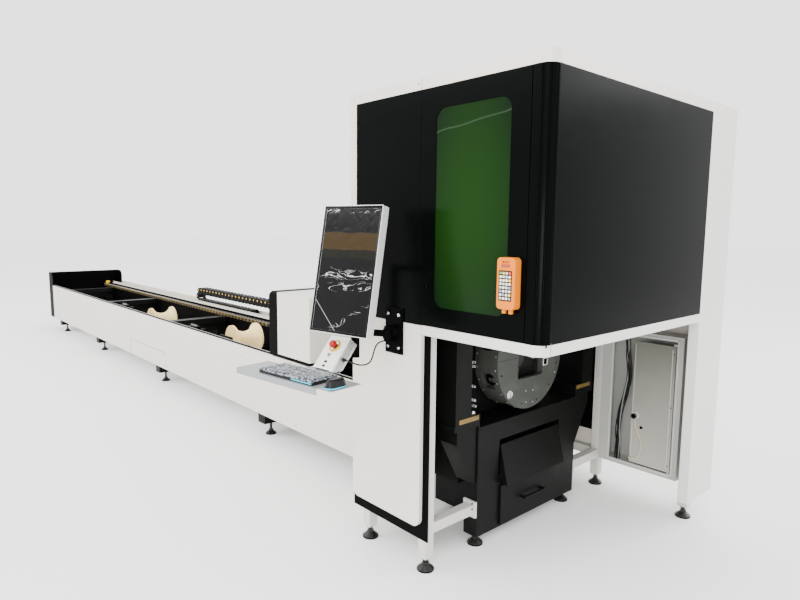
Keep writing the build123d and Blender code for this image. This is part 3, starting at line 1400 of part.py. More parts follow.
# Monitor: an upright panel in an aluminium frame that leans back, with two
# lugs behind it that tilt on the arm's cross pin.
monitor_along, monitor_out_level = turned(monitor_turn)
monitor_angle = math.radians(monitor_lean)
monitor_normal = monitor_out_level * math.cos(monitor_angle) + Vector(0, 0, 1) * math.sin(monitor_angle)
monitor_face = Plane(from_corner(monitor_from_end, monitor_out, monitor_z),
                     x_dir=monitor_along, z_dir=monitor_normal)
monitor_corner = 10.0
screen_margin = 14.0
screen_recess = 2.0
tilt_lug_x = (24.0, 34.0)
tilt_lug_radius = 14.0
tilt_axis_down = monitor_thickness + tilt_axis_behind
with BuildPart() as monitor:
    with BuildSketch(monitor_face.offset(-monitor_thickness)):
        RectangleRounded(monitor_width, monitor_height, monitor_corner)
    extrude(amount=monitor_thickness)
    fillet(monitor.faces().sort_by(lambda face: face.center().dot(monitor_normal))[0].edges(), 6)
    with BuildSketch(monitor_face.offset(-screen_recess)):
        Rectangle(monitor_width - 2 * screen_margin, monitor_height - 2 * screen_margin)
    extrude(amount=screen_recess, mode=Mode.SUBTRACT)
    for side in (-1, 1):
        lug_centre = side * (tilt_lug_x[0] + tilt_lug_x[1]) / 2
        with Locations(monitor_face):
            with Locations((lug_centre, 0, -monitor_thickness - tilt_axis_behind / 2)):
                Box(tilt_lug_x[1] - tilt_lug_x[0], 2 * tilt_lug_radius, tilt_axis_behind)
            with Locations(Pos(lug_centre, 0, -tilt_axis_down) * Rot(0, 90, 0)):
                Cylinder(tilt_lug_radius, tilt_lug_x[1] - tilt_lug_x[0])
    with Locations(monitor_face):
        with Locations(Pos(0, 0, -tilt_axis_down) * Rot(0, 90, 0)):
            Cylinder(tilt_pin_radius + pin_gap, 4 * tilt_lug_x[1], mode=Mode.SUBTRACT)

# Console arm: pivot knuckle, level tube, upright post with a slanted plate
# behind the control box, and a top tube with the cross pin for the monitor.
hub = from_corner(hub_from_end, hub_out, arm_z)
tilt_axis_point = monitor_face.from_local_coords((0, 0, -tilt_axis_down))
hub_top_z = tilt_axis_point.Z
neck_behind = 34.0
neck = tilt_axis_point - monitor_out_level * neck_behind
mount_plate = (100.0, 90.0, 8.0)
mount_plate_up = 40.0
head_block = (2 * tilt_lug_x[0] - 2 * side_gap, 26.0, 26.0)


def tube_between(start, stop, radius):
    """A round bar between two points."""
    run = stop - start
    with BuildSketch(Plane(start, z_dir=run)) as section:
        Circle(radius)
    extrude(section.sketch, amount=run.length)


with BuildPart() as console_arm:
    tube_between(pivot, hub, arm_radius)
    tube_between(Vector(hub.X, hub.Y, tray_top + mount_plate_up), Vector(hub.X, hub.Y, hub_top_z), hub_radius)
    with Locations(Vector(hub.X, hub.Y, hub_top_z)):
        Sphere(hub_radius)
    tube_between(Vector(hub.X, hub.Y, hub_top_z), neck, arm_radius * 0.8)
    tube_between(box_face.from_local_coords((0, mount_plate_up, -box_depth)),
                 Vector(hub.X, hub.Y, box_face_z), arm_radius)
    with Locations(box_face):
        with Locations((0, mount_plate_up, -box_depth - mount_plate[2] / 2)):
            Box(*mount_plate)
    with Locations(box_face):
        with Locations((0, (box_face_up - box_face_down) / 2, -box_depth / 2)):
            Box(2 * box_width, box_face_up + box_face_down, box_depth, mode=Mode.SUBTRACT)
    with Locations(Plane(tilt_axis_point, x_dir=monitor_along, z_dir=(0, 0, 1))):
        with Locations((0, neck_behind / 2, 0)):
            Box(head_block[0], head_block[1] + neck_behind, head_block[2])
        with Locations(Rot(0, 90, 0)):
            Cylinder(tilt_pin_radius, 2 * tilt_lug_x[1])
    with Locations(pivot):
        Cylinder(knuckle_radius + 4.0, knuckle_height)
        Cylinder(pivot_radius + pin_gap, 2 * knuckle_height, mode=Mode.SUBTRACT)


def cord(points, radius):
    """A round cord along straight runs joined by arcs as large as the runs allow."""
    radii = []
    for before, corner, after in zip(points, points[1:], points[2:]):
        turn_angle = (corner - before).get_angle(after - corner)
        shorter = min((corner - before).length, (after - corner).length)
        radii.append(0.45 * shorter / math.tan(math.radians(turn_angle / 2)))
    with BuildLine() as route:
        FilletPolyline(*points, radius=radii)
    path = route.wires()[0]
    with BuildSketch(Plane(points[0], z_dir=points[1] - points[0])) as section:
        Circle(radius)
    sweep(section.sketch, path=path)
    print("cord arcs", [round(value) for value in radii], "length", round(path.length, 1))
    return path.length


# Lead from the control box's side to the gland on the bracket
box_gland_face = box_face.from_local_coords((box_width / 2 + cable_gland_length, box_gland_up, -box_depth * 0.46))
console_cable_points = [
    box_gland_face,
    box_gland_face + box_along * 26.0,
    from_corner(845.0, 205.0, 982.0),
    from_corner(827.0, 177.0, 976.0),
    from_corner(822.0, 146.0, 980.0),
    from_corner(823.0, 126.0, 1001.0),
    from_corner(832.0, 108.0, 1033.0),
    from_corner(843.0, 84.0, 1058.0),
    bracket_gland + Vector(0, -cable_gland_length - 32.0, 0),
    bracket_gland + Vector(0, -cable_gland_length, 0),
]
with BuildPart() as console_cable:
    cord(console_cable_points, console_cable_radius)

# Harness that runs down the open left bay of the electrical cabinet
harness_points = [
    from_corner(498.0, -1600.0, switch_z[1] - sheet),
    from_corner(498.0, -1600.0, 930.0),
    from_corner(491.0, -1600.0, 852.0),
    from_corner(478.0, -1599.0, 768.0),
    from_corner(474.0, -1595.0, 684.0),
    from_corner(487.0, -1592.0, 600.0),
    from_corner(508.0, -1590.0, 520.0),
    from_corner(524.0, -1589.0, 438.0),
    from_corner(529.0, -1591.0, 356.0),
    from_corner(525.0, -1592.0, 284.0),
    from_corner(525.0, -1592.0, switch_z[0] + sheet),
]
with BuildPart() as cabinet_harness:
    cord(harness_points, harness_radius)

# Thin lead in a loop in front of the electrical cabinet's door, between the
# lock block under the knob and a clip near the door's lower corner
lead_y = switch_door_y[0] - lead_stand_off
lock_cable_points = [
    Vector(end_x - lead_lock_from_end, lead_y, lock_block_z[0]),
    Vector(end_x - lead_lock_from_end, lead_y, 450.0),
    Vector(end_x - 372.0, lead_y - 2.0, 420.0),
    Vector(end_x - 353.0, lead_y - 3.0, 392.0),
    Vector(end_x - 341.0, lead_y - 3.0, 360.0),
    Vector(end_x - 337.0, lead_y - 3.0, 324.0),
    Vector(end_x - 341.0, lead_y - 2.5, 290.0),
    Vector(end_x - 355.0, lead_y - 2.0, 262.0),
    Vector(end_x - 376.0, lead_y, lead_clip_z),
    Vector(end_x - lead_clip_from_end, lead_y, lead_clip_z),
]
with BuildPart() as lock_cable:
    cord(lock_cable_points, lock_cable_radius)

sub_parts = {
    "bed_side_beams": bed_side_beams,
    "bed_cross_frames": bed_cross_frames,
    "bed_side_panels": bed_side_panels,
    "bed_end_cap": bed_end_cap,
    "carriage_rails": carriage_rails,
    "gear_rack": gear_rack,
    "chain_tray": chain_tray,
    "chain_lower_run": chain_lower_run,
    "chain_upper_run": chain_upper_run,
    "chain_bend": chain_bend,
    "support_cylinders": support_cylinders,
    "support_yoke_near": support_yoke_near,
    "support_yoke_far": support_yoke_far,
    "roller_near": roller_near,
    "roller_far": roller_far,
    "levelling_feet": levelling_feet,
    "cabinet_posts": cabinet_posts,
    "cabinet_rails": cabinet_rails,
    "bottom_rim": bottom_rim,
    "cabinet_roof": cabinet_roof,
    "front_upper_panel": front_upper_panel,
    "front_lower_panel": front_lower_panel,
    "panel_border": panel_border,
    "cabinet_left_wall": cabinet_left_wall,
    "corner_post": corner_post,
    "end_panel": end_panel,
    "rear_corner_panel": rear_corner_panel,
    "cabinet_back_panel": cabinet_back_panel,
    "door_panel": door_panel,
    "door_window": door_window,
    "remote_control": remote_control,
    "machine_base": machine_base,
    "scrap_drawer": scrap_drawer,
    "gantry": gantry,
    "head_saddle": head_saddle,
    "cutting_head": cutting_head,
    "front_chuck_housing": front_chuck_housing,
    "front_chuck_drum": front_chuck_drum,
    "jaw_rear": jaw_rear,
    "jaw_front": jaw_front,
    "jaw_top": jaw_top,
    "jaw_bottom": jaw_bottom,
    "carriage_frame": carriage_frame,
    "carriage_cover": carriage_cover,
    "rear_chuck_drum": rear_chuck_drum,
    "electrical_cabinet": electrical_cabinet,
    "electrical_door": electrical_door,
    "control_modules": control_modules,
    "console_bracket": console_bracket,
    "console_arm": console_arm,
    "control_box": control_box,
    "estop_button": estop_button,
    "key_switch": key_switch,
    "keyboard_tray": keyboard_tray,
    "keyboard": keyboard,
    "mouse": mouse,
    "monitor": monitor,
    "console_cable": console_cable,
    "cabinet_harness": cabinet_harness,
    "lock_cable": lock_cable,
}

for label, sub_part in sub_parts.items():
    sub_part.part.label = label
    export_step(sub_part.part, f"parts/{label}.step")
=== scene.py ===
import math

import bmesh
import bpy
from mathutils import Matrix, Vector, noise


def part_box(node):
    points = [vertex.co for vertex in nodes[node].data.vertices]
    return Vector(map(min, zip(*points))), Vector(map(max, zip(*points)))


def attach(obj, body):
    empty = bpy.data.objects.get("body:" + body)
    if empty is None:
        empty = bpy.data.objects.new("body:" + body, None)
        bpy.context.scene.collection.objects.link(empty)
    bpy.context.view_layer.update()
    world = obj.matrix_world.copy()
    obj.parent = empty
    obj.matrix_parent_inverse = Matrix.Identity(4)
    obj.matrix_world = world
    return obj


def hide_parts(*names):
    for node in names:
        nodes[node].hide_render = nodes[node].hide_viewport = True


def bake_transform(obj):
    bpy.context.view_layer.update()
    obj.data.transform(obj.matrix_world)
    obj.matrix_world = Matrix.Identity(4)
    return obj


# The frame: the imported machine, in metres, with +X along the bed
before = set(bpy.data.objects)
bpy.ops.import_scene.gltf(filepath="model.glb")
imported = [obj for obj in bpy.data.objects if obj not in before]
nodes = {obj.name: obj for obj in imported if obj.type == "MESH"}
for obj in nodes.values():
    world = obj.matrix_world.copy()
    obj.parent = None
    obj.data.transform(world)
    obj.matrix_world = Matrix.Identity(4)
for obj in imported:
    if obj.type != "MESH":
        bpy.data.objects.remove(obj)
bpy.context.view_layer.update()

# Sizes shared by the pieces, read from the frame or repeated from the part
FRONT_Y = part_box("front_upper_panel")[0][1]
END_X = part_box("end_panel")[1][0]
REAR_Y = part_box("cabinet_back_panel")[1][1]

# The line along which the stock is fed, which is the chucks' axis
LINE_Y = FRONT_Y + 0.790
LINE_Z = 0.915

# Directions, a whole turn, and the angle from which an edge is shaded as crisp
TO_FRONT = (0, -1, 0)
TO_END = (1, 0, 0)
TO_TOP = (0, 0, 1)
TURN = 2 * math.pi
CRISP_ANGLE = math.radians(34)


def from_corner(back, out, z):
    """A point by its distance back from the end face, out from the front, and height."""
    return Vector((END_X - back, FRONT_Y - out, z))


def axes_at(point, across, upward, out):
    """A place whose local X, Y and Z are the three directions."""
    return Matrix.Translation(Vector(point)) @ Matrix((across, upward, out)).transposed().to_4x4()


def moved(place, across, upward, out=0.0):
    return place @ Matrix.Translation((across, upward, out))


# Camera at the photograph's angle
def make_camera():
    yaw = math.radians(48.093)
    pitch = math.radians(6.946)
    roll = math.radians(0.518)
    forward = Vector((-math.sin(yaw) * math.cos(pitch), math.cos(yaw) * math.cos(pitch), -math.sin(pitch)))
    level = Vector((math.cos(yaw), math.sin(yaw), 0))
    upward = level.cross(forward)
    right = level * math.cos(roll) + upward * math.sin(roll)
    top = upward * math.cos(roll) - level * math.sin(roll)
    data = bpy.data.cameras.new("photo_camera")
    data.sensor_width = 36.0
    data.lens = 27.45
    data.clip_end = 200.0
    camera = bpy.data.objects.new("photo_camera", data)
    place = from_corner(-1.279, 1.846, 1.6)
    camera.matrix_world = axes_at(place, right, top, -forward)
    bpy.context.scene.collection.objects.link(camera)
    bpy.context.scene.camera = camera


make_camera()


# Shader maths: numbers as Python expressions, colours through mixes
class Value:
    """A number socket that takes part in Python arithmetic."""

    def __init__(self, shade, socket):
        self.shade = shade
        self.socket = socket

    def math(self, operation, *others, clamp=False):
        node = self.shade.node("ShaderNodeMath", {"operation": operation, "use_clamp": clamp},
                               dict(enumerate([self, *others])))
        return Value(self.shade, node.outputs[0])

    def __add__(self, other):
        return self.math("ADD", other)

    def __sub__(self, other):
        return self.math("SUBTRACT", other)

    def __mul__(self, other):
        return self.math("MULTIPLY", other)

    def __truediv__(self, other):
        return self.math("DIVIDE", other)

    def __rsub__(self, other):
        return self.math("MULTIPLY", -1.0) + other

    __radd__ = __add__
    __rmul__ = __mul__

    def clamped(self):
        return self.math("ADD", 0.0, clamp=True)

    def steep(self, factor):
        """Times a factor, held between 0 and 1."""
        return self.math("MULTIPLY", factor, clamp=True)

    def above(self, edge, blur):
        """1 where the value is over the edge, 0 below it, with a short ramp between."""
        return ((self - edge) / blur + 0.5).clamped()

    def below(self, edge, blur):
        return 1.0 - self.above(edge, blur)

    def between(self, low, high, blur):
        return self.above(low, blur) * self.below(high, blur)

    def absolute(self):
        return self.math("ABSOLUTE")

    def power(self, exponent):
        return self.math("POWER", exponent)

    def at_most(self, other):
        return self.math("MINIMUM", other)

    def at_least(self, other):
        return self.math("MAXIMUM", other)


class Shade:
    """One material, built from nodes."""

    def __init__(self, name):
        self.material = bpy.data.materials.new(name)
        self.material.use_nodes = True
        self.tree = self.material.node_tree
        self.surface = self.tree.nodes["Principled BSDF"]
        coordinates = self.tree.nodes.new("ShaderNodeTexCoord")
        self.place = coordinates.outputs["Object"]
        split = self.node("ShaderNodeSeparateXYZ", {}, {0: self.place})
        self.x, self.y, self.z = (Value(self, socket) for socket in split.outputs)

    def node(self, kind, settings, values):
        made = self.tree.nodes.new(kind)
        for key, setting in settings.items():
            if key == "stops":
                ramp = made.color_ramp.elements
                while len(ramp) < len(setting):
                    ramp.new(0.5)
                for element, (position, colour) in zip(ramp, setting):
                    element.position = position
                    element.color = (*colour, 1.0)
            else:
                setattr(made, key, setting)
        for key, value in values.items():
            self.feed(made.inputs[key], value)
        return made

    def feed(self, socket, value):
        if isinstance(value, Value):
            self.tree.links.new(value.socket, socket)
        elif isinstance(value, bpy.types.NodeSocket):
            self.tree.links.new(value, socket)
        elif socket.type == "RGBA" and len(value) == 3:
            socket.default_value = (*value, 1.0)
        else:
            socket.default_value = value

    def noise(self, scale, detail=3.0, stretch=None, distortion=0.0):
        place = self.place
        if stretch:
            place = self.node("ShaderNodeVectorMath", {"operation": "MULTIPLY"},
                              {0: place, 1: stretch}).outputs[0]
        made = self.node("ShaderNodeTexNoise", {}, {
            "Vector": place, "Scale": scale, "Detail": detail, "Distortion": distortion})
        return Value(self, made.outputs[0])

    def mix(self, factor, first, second):
        made = self.node("ShaderNodeMix", {"data_type": "RGBA"}, {0: factor, 6: first, 7: second})
        return made.outputs[2]

    def along(self, origin, direction):
        """Distance of a surface point from a plane through origin."""
        offset = self.node("ShaderNodeVectorMath", {"operation": "SUBTRACT"}, {0: self.place, 1: origin})
        made = self.node("ShaderNodeVectorMath", {"operation": "DOT_PRODUCT"},
                         {0: offset.outputs[0], 1: direction})
        return Value(self, made.outputs["Value"])

    def bump(self, height, strength, distance, round_edges=0.0):
        values = {"Strength": strength, "Distance": distance, "Height": height}
        if round_edges:
            rounded = self.node("ShaderNodeBevel", {"samples": 4}, {"Radius": round_edges})
            values["Normal"] = rounded.outputs[0]
        return self.node("ShaderNodeBump", {}, values).outputs[0]

    def done(self, **sockets):
        names = {"color": "Base Color", "rough": "Roughness", "metal": "Metallic", "normal": "Normal",
                 "coat": "Coat Weight", "coat_rough": "Coat Roughness", "alpha": "Alpha",
                 "specular": "Specular IOR Level"}
        for key, value in sockets.items():
            self.feed(self.surface.inputs[names[key]], value)
        return self.material


def scaled(colour, factor):
    return tuple(channel * factor for channel in colour)


def paint(name, colour, rough=0.36, drift=0.05, coat=0.15, grime_and_shade=0.0, shine=0.5):
    """Powder coat: orange peel, a slow drift of tone, faint dull patches, and dark patches of grime and
    painted shade.
    """
    shade = Shade(name)
    slow = shade.noise(1.3, 4.0)
    fine = shade.noise(420.0, 2.0)
    smudge = shade.noise(5.0, 5.0, distortion=0.6)
    tone = shade.mix(slow, scaled(colour, 1.0 - drift), scaled(colour, 1.0 + drift))
    # Dark noise patches darken the paint: grime, and in part painted shade.
    if grime_and_shade:
        tone = shade.mix((smudge - 0.52).steep(3.0) * grime_and_shade, tone, scaled(colour, 0.62))
    return shade.done(color=tone, rough=rough + (smudge - 0.5) * 0.18, coat=coat, coat_rough=0.12,
                      specular=shine, normal=shade.bump(fine, 0.05, 0.0006, 0.0015))


def gloss_black(name, colour, rough):
    """Glossy black sheet: fine dust, wiping marks, and a slow green cast."""
    shade = Shade(name)
    wipe = shade.noise(3.0, 6.0, stretch=(1.0, 1.0, 2.6), distortion=1.2)
    dust = shade.noise(900.0, 2.0)
    slow = shade.noise(0.9, 2.0)
    tone = shade.mix(slow, colour, scaled(colour, 1.9))
    tone = shade.mix((dust - 0.66).steep(6.0) * 0.15, tone, (0.02, 0.02, 0.019))
    return shade.done(color=tone, rough=rough + (wipe - 0.5) * 0.14, specular=0.022,
                      normal=shade.bump(shade.noise(2.2, 2.0), 0.05, 0.004, 0.0015))


def casting(name, colour, rough=0.5, metal=0.2, strength=0.25, shine=0.5):
    """Painted or blackened casting: pitted grain and rubbed, slightly lighter spots."""
    shade = Shade(name)
    grain = shade.noise(160.0, 4.0)
    patch = shade.noise(9.0, 5.0, distortion=0.4)
    tone = shade.mix((patch - 0.5).steep(3.0), scaled(colour, 0.82), scaled(colour, 1.35))
    return shade.done(color=tone, rough=rough + (patch - 0.5) * 0.3, metal=metal, specular=shine,
                      normal=shade.bump(grain, strength, 0.0008, 0.0012))


def brushed(name, colour, stretch=(1.0, 40.0, 40.0), rough=0.3, metal=1.0):
    """Ground or drawn metal with fine lines along one direction."""
    shade = Shade(name)
    lines = shade.noise(30.0, 4.0, stretch=stretch)
    patch = shade.noise(14.0, 4.0)
    tone = shade.mix(lines, scaled(colour, 0.72), scaled(colour, 1.12))
    return shade.done(color=tone, metal=metal, rough=rough + (patch - 0.5) * 0.22,
                      normal=shade.bump(lines, 0.12, 0.0003, 0.0008))


def plastic(name, colour, rough=0.42, grain=0.08, shine=0.5):
    """Moulded plastic or rubber with a fine matt grain."""
    shade = Shade(name)
    fine = shade.noise(700.0, 2.0)
    slow = shade.noise(24.0, 4.0)
    tone = shade.mix(slow, scaled(colour, 0.92), scaled(colour, 1.08))
    return shade.done(color=tone, rough=rough + (slow - 0.5) * 0.2, specular=shine,
                      normal=shade.bump(fine, grain, 0.0004, 0.0006))


WHITE = (0.630, 0.600, 0.530)
COOL_WHITE = (0.610, 0.604, 0.575)
finish = {
    "white_paint": paint("white_powder_coat", WHITE),
    "cool_white": paint("cool_white_powder_coat", COOL_WHITE),
    # Frame white, darkened with painted shade from the roof above the posts and rails.
    "frame_paint": paint("frame_powder_coat_painted_shade", (0.50, 0.49, 0.45), rough=0.42, grime_and_shade=0.35),
    "black_gloss": gloss_black("black_gloss_sheet", (0.0005, 0.0009, 0.0007), rough=0.22),
    "black_paint": paint("black_powder_coat", (0.0010, 0.0010, 0.0011), rough=0.50, drift=0.2,
                         coat=0.0, shine=0.02),
    "machine_grey": casting("machine_grey_paint", (0.0028, 0.0034, 0.0028), rough=0.45,
                            metal=0.0, shine=0.08),
    "chuck_steel": casting("blackened_chuck_steel", (0.056, 0.060, 0.052), rough=0.45,
                           metal=0.1, strength=0.12, shine=0.2),
    "tooth_steel": brushed("oiled_tooth_steel", (0.30, 0.24, 0.15), rough=0.36, metal=0.8),
    "foot_steel": casting("blackened_foot_steel", (0.030, 0.031, 0.029), rough=0.28,
                          metal=0.7, strength=0.08),
    # Bay grey, darkened with painted shade inside the cabinet.
    "bay_paint_shaded": paint("bay_powder_coat_painted_shade", (0.36, 0.36, 0.33), rough=0.42, grime_and_shade=0.2),
    "bright_steel": brushed("ground_steel", (0.46, 0.46, 0.44)),
    "aluminium": brushed("anodised_aluminium", (0.66, 0.67, 0.67), stretch=(30.0, 30.0, 1.5), rough=0.32),
    "chrome": brushed("polished_chrome", (0.75, 0.75, 0.74), stretch=(8.0, 8.0, 8.0), rough=0.10),
    "brass": brushed("brass_plate", (0.16, 0.10, 0.02), stretch=(2.0, 24.0, 24.0), rough=0.40, metal=0.3),
    "nylon": plastic("turned_nylon", (0.92, 0.68, 0.30), rough=0.38, grain=0.05),
    "chain_plastic": plastic("chain_black", (0.005, 0.005, 0.0055), rough=0.38, shine=0.12),
    "remote_plastic": plastic("remote_orange", (0.62, 0.155, 0.002), rough=0.40, shine=0.15),
    "tray_paint": paint("tray_grey_paint", (0.22, 0.228, 0.234), rough=0.36, shine=0.3),
    "stop_red": plastic("stop_red", (0.36, 0.002, 0.007), rough=0.22, grain=0.01, shine=0.2),
    "stop_yellow": plastic("stop_yellow", (0.74, 0.46, 0.004), rough=0.32, grain=0.03, shine=0.2),
    "key_plastic": plastic("key_black", (0.009, 0.0095, 0.0105), rough=0.36, shine=0.15),
    "module_plastic": plastic("module_grey", (0.35, 0.36, 0.35), rough=0.4),
    "cable_black": plastic("cable_black_jacket", (0.005, 0.005, 0.005), rough=0.34, grain=0.04, shine=0.15),
    "cable_grey": plastic("cable_grey_jacket", (0.19, 0.20, 0.20), rough=0.36, grain=0.04),
    "cable_cream": plastic("cable_cream_jacket", (0.62, 0.53, 0.30), rough=0.4, grain=0.04),
    "chain_yellow": plastic("chain_yellow", (0.85, 0.62, 0.10), rough=0.45),
    # Black of rubber, caps, joints and screws, and painted shade in holes, sockets, pockets and gaps.
    "dark_and_hole_shade": plastic("dark_parts_and_painted_hole_shade", (0.0015, 0.0015, 0.0015), rough=0.8, shine=0.03),
    "joint_grey": plastic("joint_grey", (0.20, 0.19, 0.175), rough=0.7),
    "box_white": paint("control_face_white", (0.78, 0.77, 0.72), rough=0.30),
    "bezel_black": plastic("screen_bezel_black", (0.002, 0.002, 0.0022), rough=0.18, grain=0.02, shine=0.1),
    "monitor_case": plastic("monitor_case_silver", (0.46, 0.47, 0.46), rough=0.30, grain=0.03, shine=0.4),
    "bezel": brushed("screen_bezel", (0.80, 0.80, 0.79), stretch=(4.0, 4.0, 60.0), rough=0.22, metal=0.6),
    "cyan": plastic("cyan_plastic", (0.02, 0.42, 0.62), rough=0.25),
}


def window_finish():
    """Dark green laser glass, paler in its middle with painted light, and a painted highlight along a faint
    crease of its film.
    """
    shade = Shade("laser_window")
    low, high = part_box("door_window")
    middle = (Vector(low) + Vector(high)) / 2
    across = ((shade.x - middle.x) / 0.20).absolute()
    upward = ((shade.z - middle.z) / 0.42).absolute()
    # Painted light: the glass is paler towards its middle.
    painted_middle_light = (1.0 - (across.power(2.0) + upward.power(2.0)) * 0.55).at_least(0.0)
    slanted = shade.z - shade.x * 0.12 + shade.noise(7.0, 3.0) * 0.02
    crease = slanted - (high[2] - 0.075 - middle.x * 0.12)
    # Painted highlight along a crease of the film.
    line = crease.absolute().below(0.003, 0.004) * 0.25
    tone = shade.mix(painted_middle_light, (0.0020, 0.0080, 0.0022), (0.0048, 0.0230, 0.0022))
    tone = shade.mix(line, tone, (0.06, 0.09, 0.06))
    return shade.done(color=tone, rough=0.12, specular=0.05,
                      normal=shade.bump(shade.noise(3.0, 2.0), 0.04, 0.003))


def door_finish():
    """Grey door paint, lighter low down than at its top, where painted shade darkens it."""
    shade = Shade("inner_door_paint_painted_shade")
    height = ((shade.z - 0.20) / 0.75).at_most(1.0).at_least(0.0)
    patch = shade.noise(6.0, 4.0, distortion=0.5)
    # Painted shade: the colour darkens from low down towards the door's top.
    tone = shade.mix(height + (patch - 0.5) * 0.25, (0.36, 0.35, 0.31), (0.14, 0.14, 0.115))
    return shade.done(color=tone, rough=0.42 + (patch - 0.5) * 0.2, specular=0.3,
                      normal=shade.bump(shade.noise(420.0, 2.0), 0.05, 0.0006, 0.0015))


def hatched_finish(name, light, dark, slant, period):
    """Ground steel with slanted light and dark strokes between its bolts: painted light and shade, as on
    slanted teeth.
    """
    shade = Shade(name)
    wave = ((shade.x + shade.y * slant) * (TURN / period)).math("SINE")
    blotch = shade.noise(22.0, 4.0, stretch=(0.4, 1.0, 1.0))
    # Painted light and shade: lit and shaded strokes, as on slanted teeth.
    painted_light_strokes = (wave * 0.5 + (blotch - 0.5) * 0.6 + 0.5).clamped()
    tone = shade.mix(painted_light_strokes, dark, light)
    return shade.done(color=tone, metal=0.55, rough=0.36 + (blotch - 0.5) * 0.2, specular=0.2,
                      normal=shade.bump(wave, 0.10, 0.0004, 0.0008))


finish["window_glass"] = window_finish()
finish["door_paint"] = door_finish()
finish["rail_steel"] = hatched_finish("oiled_rail_steel_painted_light", light=(0.30, 0.29, 0.26),
                                      dark=(0.015, 0.014, 0.012), slant=1.6, period=0.060)
finish["rack_steel"] = hatched_finish("oiled_rack_steel_painted_light", light=(0.20, 0.15, 0.055),
                                      dark=(0.010, 0.009, 0.007), slant=1.6, period=0.075)


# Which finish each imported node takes
node_finish = {
    "white_paint": "bed_side_panels chain_tray cabinet_roof front_lower_panel cabinet_left_wall "
                   "cabinet_back_panel carriage_cover",
    "cool_white": "bottom_rim rear_corner_panel",
    "frame_paint": "cabinet_posts cabinet_rails",
    "bay_paint_shaded": "electrical_cabinet",
    "door_paint": "electrical_door",
    "black_gloss": "front_upper_panel door_panel end_panel corner_post",
    "black_paint": "bed_side_beams bed_end_cap panel_border carriage_frame console_bracket console_arm",
    "machine_grey": "bed_cross_frames support_cylinders support_yoke_near support_yoke_far machine_base "
                    "scrap_drawer gantry head_saddle front_chuck_housing",
    "chuck_steel": "front_chuck_drum rear_chuck_drum",
    "foot_steel": "levelling_feet",
    "rail_steel": "carriage_rails",
    "bright_steel": "jaw_rear jaw_front jaw_top jaw_bottom",
    "rack_steel": "gear_rack",
    "nylon": "roller_near roller_far",
    "chain_plastic": "chain_lower_run chain_upper_run chain_bend",
    "window_glass": "door_window",
    "remote_plastic": "remote_control",
    "tray_paint": "keyboard_tray",
    "aluminium": "control_box cutting_head",
    "monitor_case": "monitor",
    "stop_red": "estop_button",
    "chrome": "key_switch",
    "key_plastic": "keyboard mouse",
    "module_plastic": "control_modules",
    "cable_black": "console_cable cabinet_harness",
    "cable_cream": "lock_cable",
}


def dress(name, material):
    """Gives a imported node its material."""
    mesh = nodes[name].data
    mesh.materials.clear()
    mesh.materials.append(material)


for key, names in node_finish.items():
    for name in names.split():
        dress(name, finish[key])


# Mesh helpers
def smooth_faces(mesh):
    for polygon in mesh.polygons:
        polygon.use_smooth = True


def finished_mesh(name, work):
    """The mesh of a bmesh, with its faces turned outward and smooth up to the crisp edges."""
    bmesh.ops.recalc_face_normals(work, faces=work.faces)
    mesh = bpy.data.meshes.new(name)
    work.to_mesh(mesh)
    work.free()
    smooth_faces(mesh)
    mesh.set_sharp_from_angle(angle=CRISP_ANGLE)
    return mesh


def show(name, mesh, key):
    """Puts a mesh in the scene as a piece with its finish."""
    mesh.materials.append(finish[key])
    piece = bpy.data.objects.new(name, mesh)
    bpy.context.scene.collection.objects.link(piece)
    return piece


def add_piece(name, build, body, key):
    """Runs a builder on an empty bmesh, and lets the piece that it makes ride on a body."""
    work = bmesh.new()
    build(work)
    piece = show(name, finished_mesh(name, work), key)
    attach(piece, body)
    return piece


def add_block(work, low, high, bevel, place=Matrix.Identity(4), segments=2):
    """A block with rounded edges, from its low to its high corner."""
    size = [b - a for a, b in zip(low, high)]
    middle = [(a + b) / 2 for a, b in zip(low, high)]
    matrix = place @ Matrix.Translation(middle) @ Matrix.Diagonal((*size, 1.0))
    made = bmesh.ops.create_cube(work, size=1.0, matrix=matrix)
    if bevel:
        edges = dict.fromkeys(edge for vertex in made["verts"] for edge in vertex.link_edges)
        bmesh.ops.bevel(work, geom=list(edges), offset=bevel, segments=segments, profile=0.5,
                        affect="EDGES")


def add_turned(work, place, profile, steps):
    """A turned form: (radius, height) pairs swept round the local Z axis."""
    rings = []
    for radius, height in profile:
        if radius <= 0:
            rings.append([work.verts.new(place @ Vector((0, 0, height)))])
        else:
            rings.append([work.verts.new(place @ Vector((
                radius * math.cos(TURN * i / steps), radius * math.sin(TURN * i / steps), height)))
                for i in range(steps)])
    for lower, upper in zip(rings, rings[1:]):
        for i in range(steps):
            j = (i + 1) % steps
            corners = [lower[i % len(lower)], lower[j % len(lower)],
                       upper[j % len(upper)], upper[i % len(upper)]]
            unique = list(dict.fromkeys(corners))
            if len(unique) > 2:
                work.faces.new(unique)


def facing(point, normal, up=TO_TOP):
    """A place whose local Z is a face's normal, with Y as near to up as it goes."""
    z = Vector(normal).normalized()
    y = (Vector(up) - z * Vector(up).dot(z)).normalized()
    x = y.cross(z)
    return axes_at(point, x, y, z)


def add_disc(work, place, radius, height, steps):
    """A flat round disc that lies on a face."""
    add_turned(work, place, [(radius, 0), (radius, height), (0, height)], steps)


def add_rim(work, place, outer, inner, depth, bevel):
    """A flat frame of four strips round the local origin, given by its half sizes."""
    (wide, tall), (open_wide, open_tall) = outer, inner
    for low, high in (((-wide, open_tall, 0), (wide, tall, depth)),
                      ((-wide, -tall, 0), (wide, -open_tall, depth)),
                      ((-wide, -open_tall, 0), (-open_wide, open_tall, depth)),
                      ((open_wide, -open_tall, 0), (wide, open_tall, depth))):
        add_block(work, low, high, bevel, place)


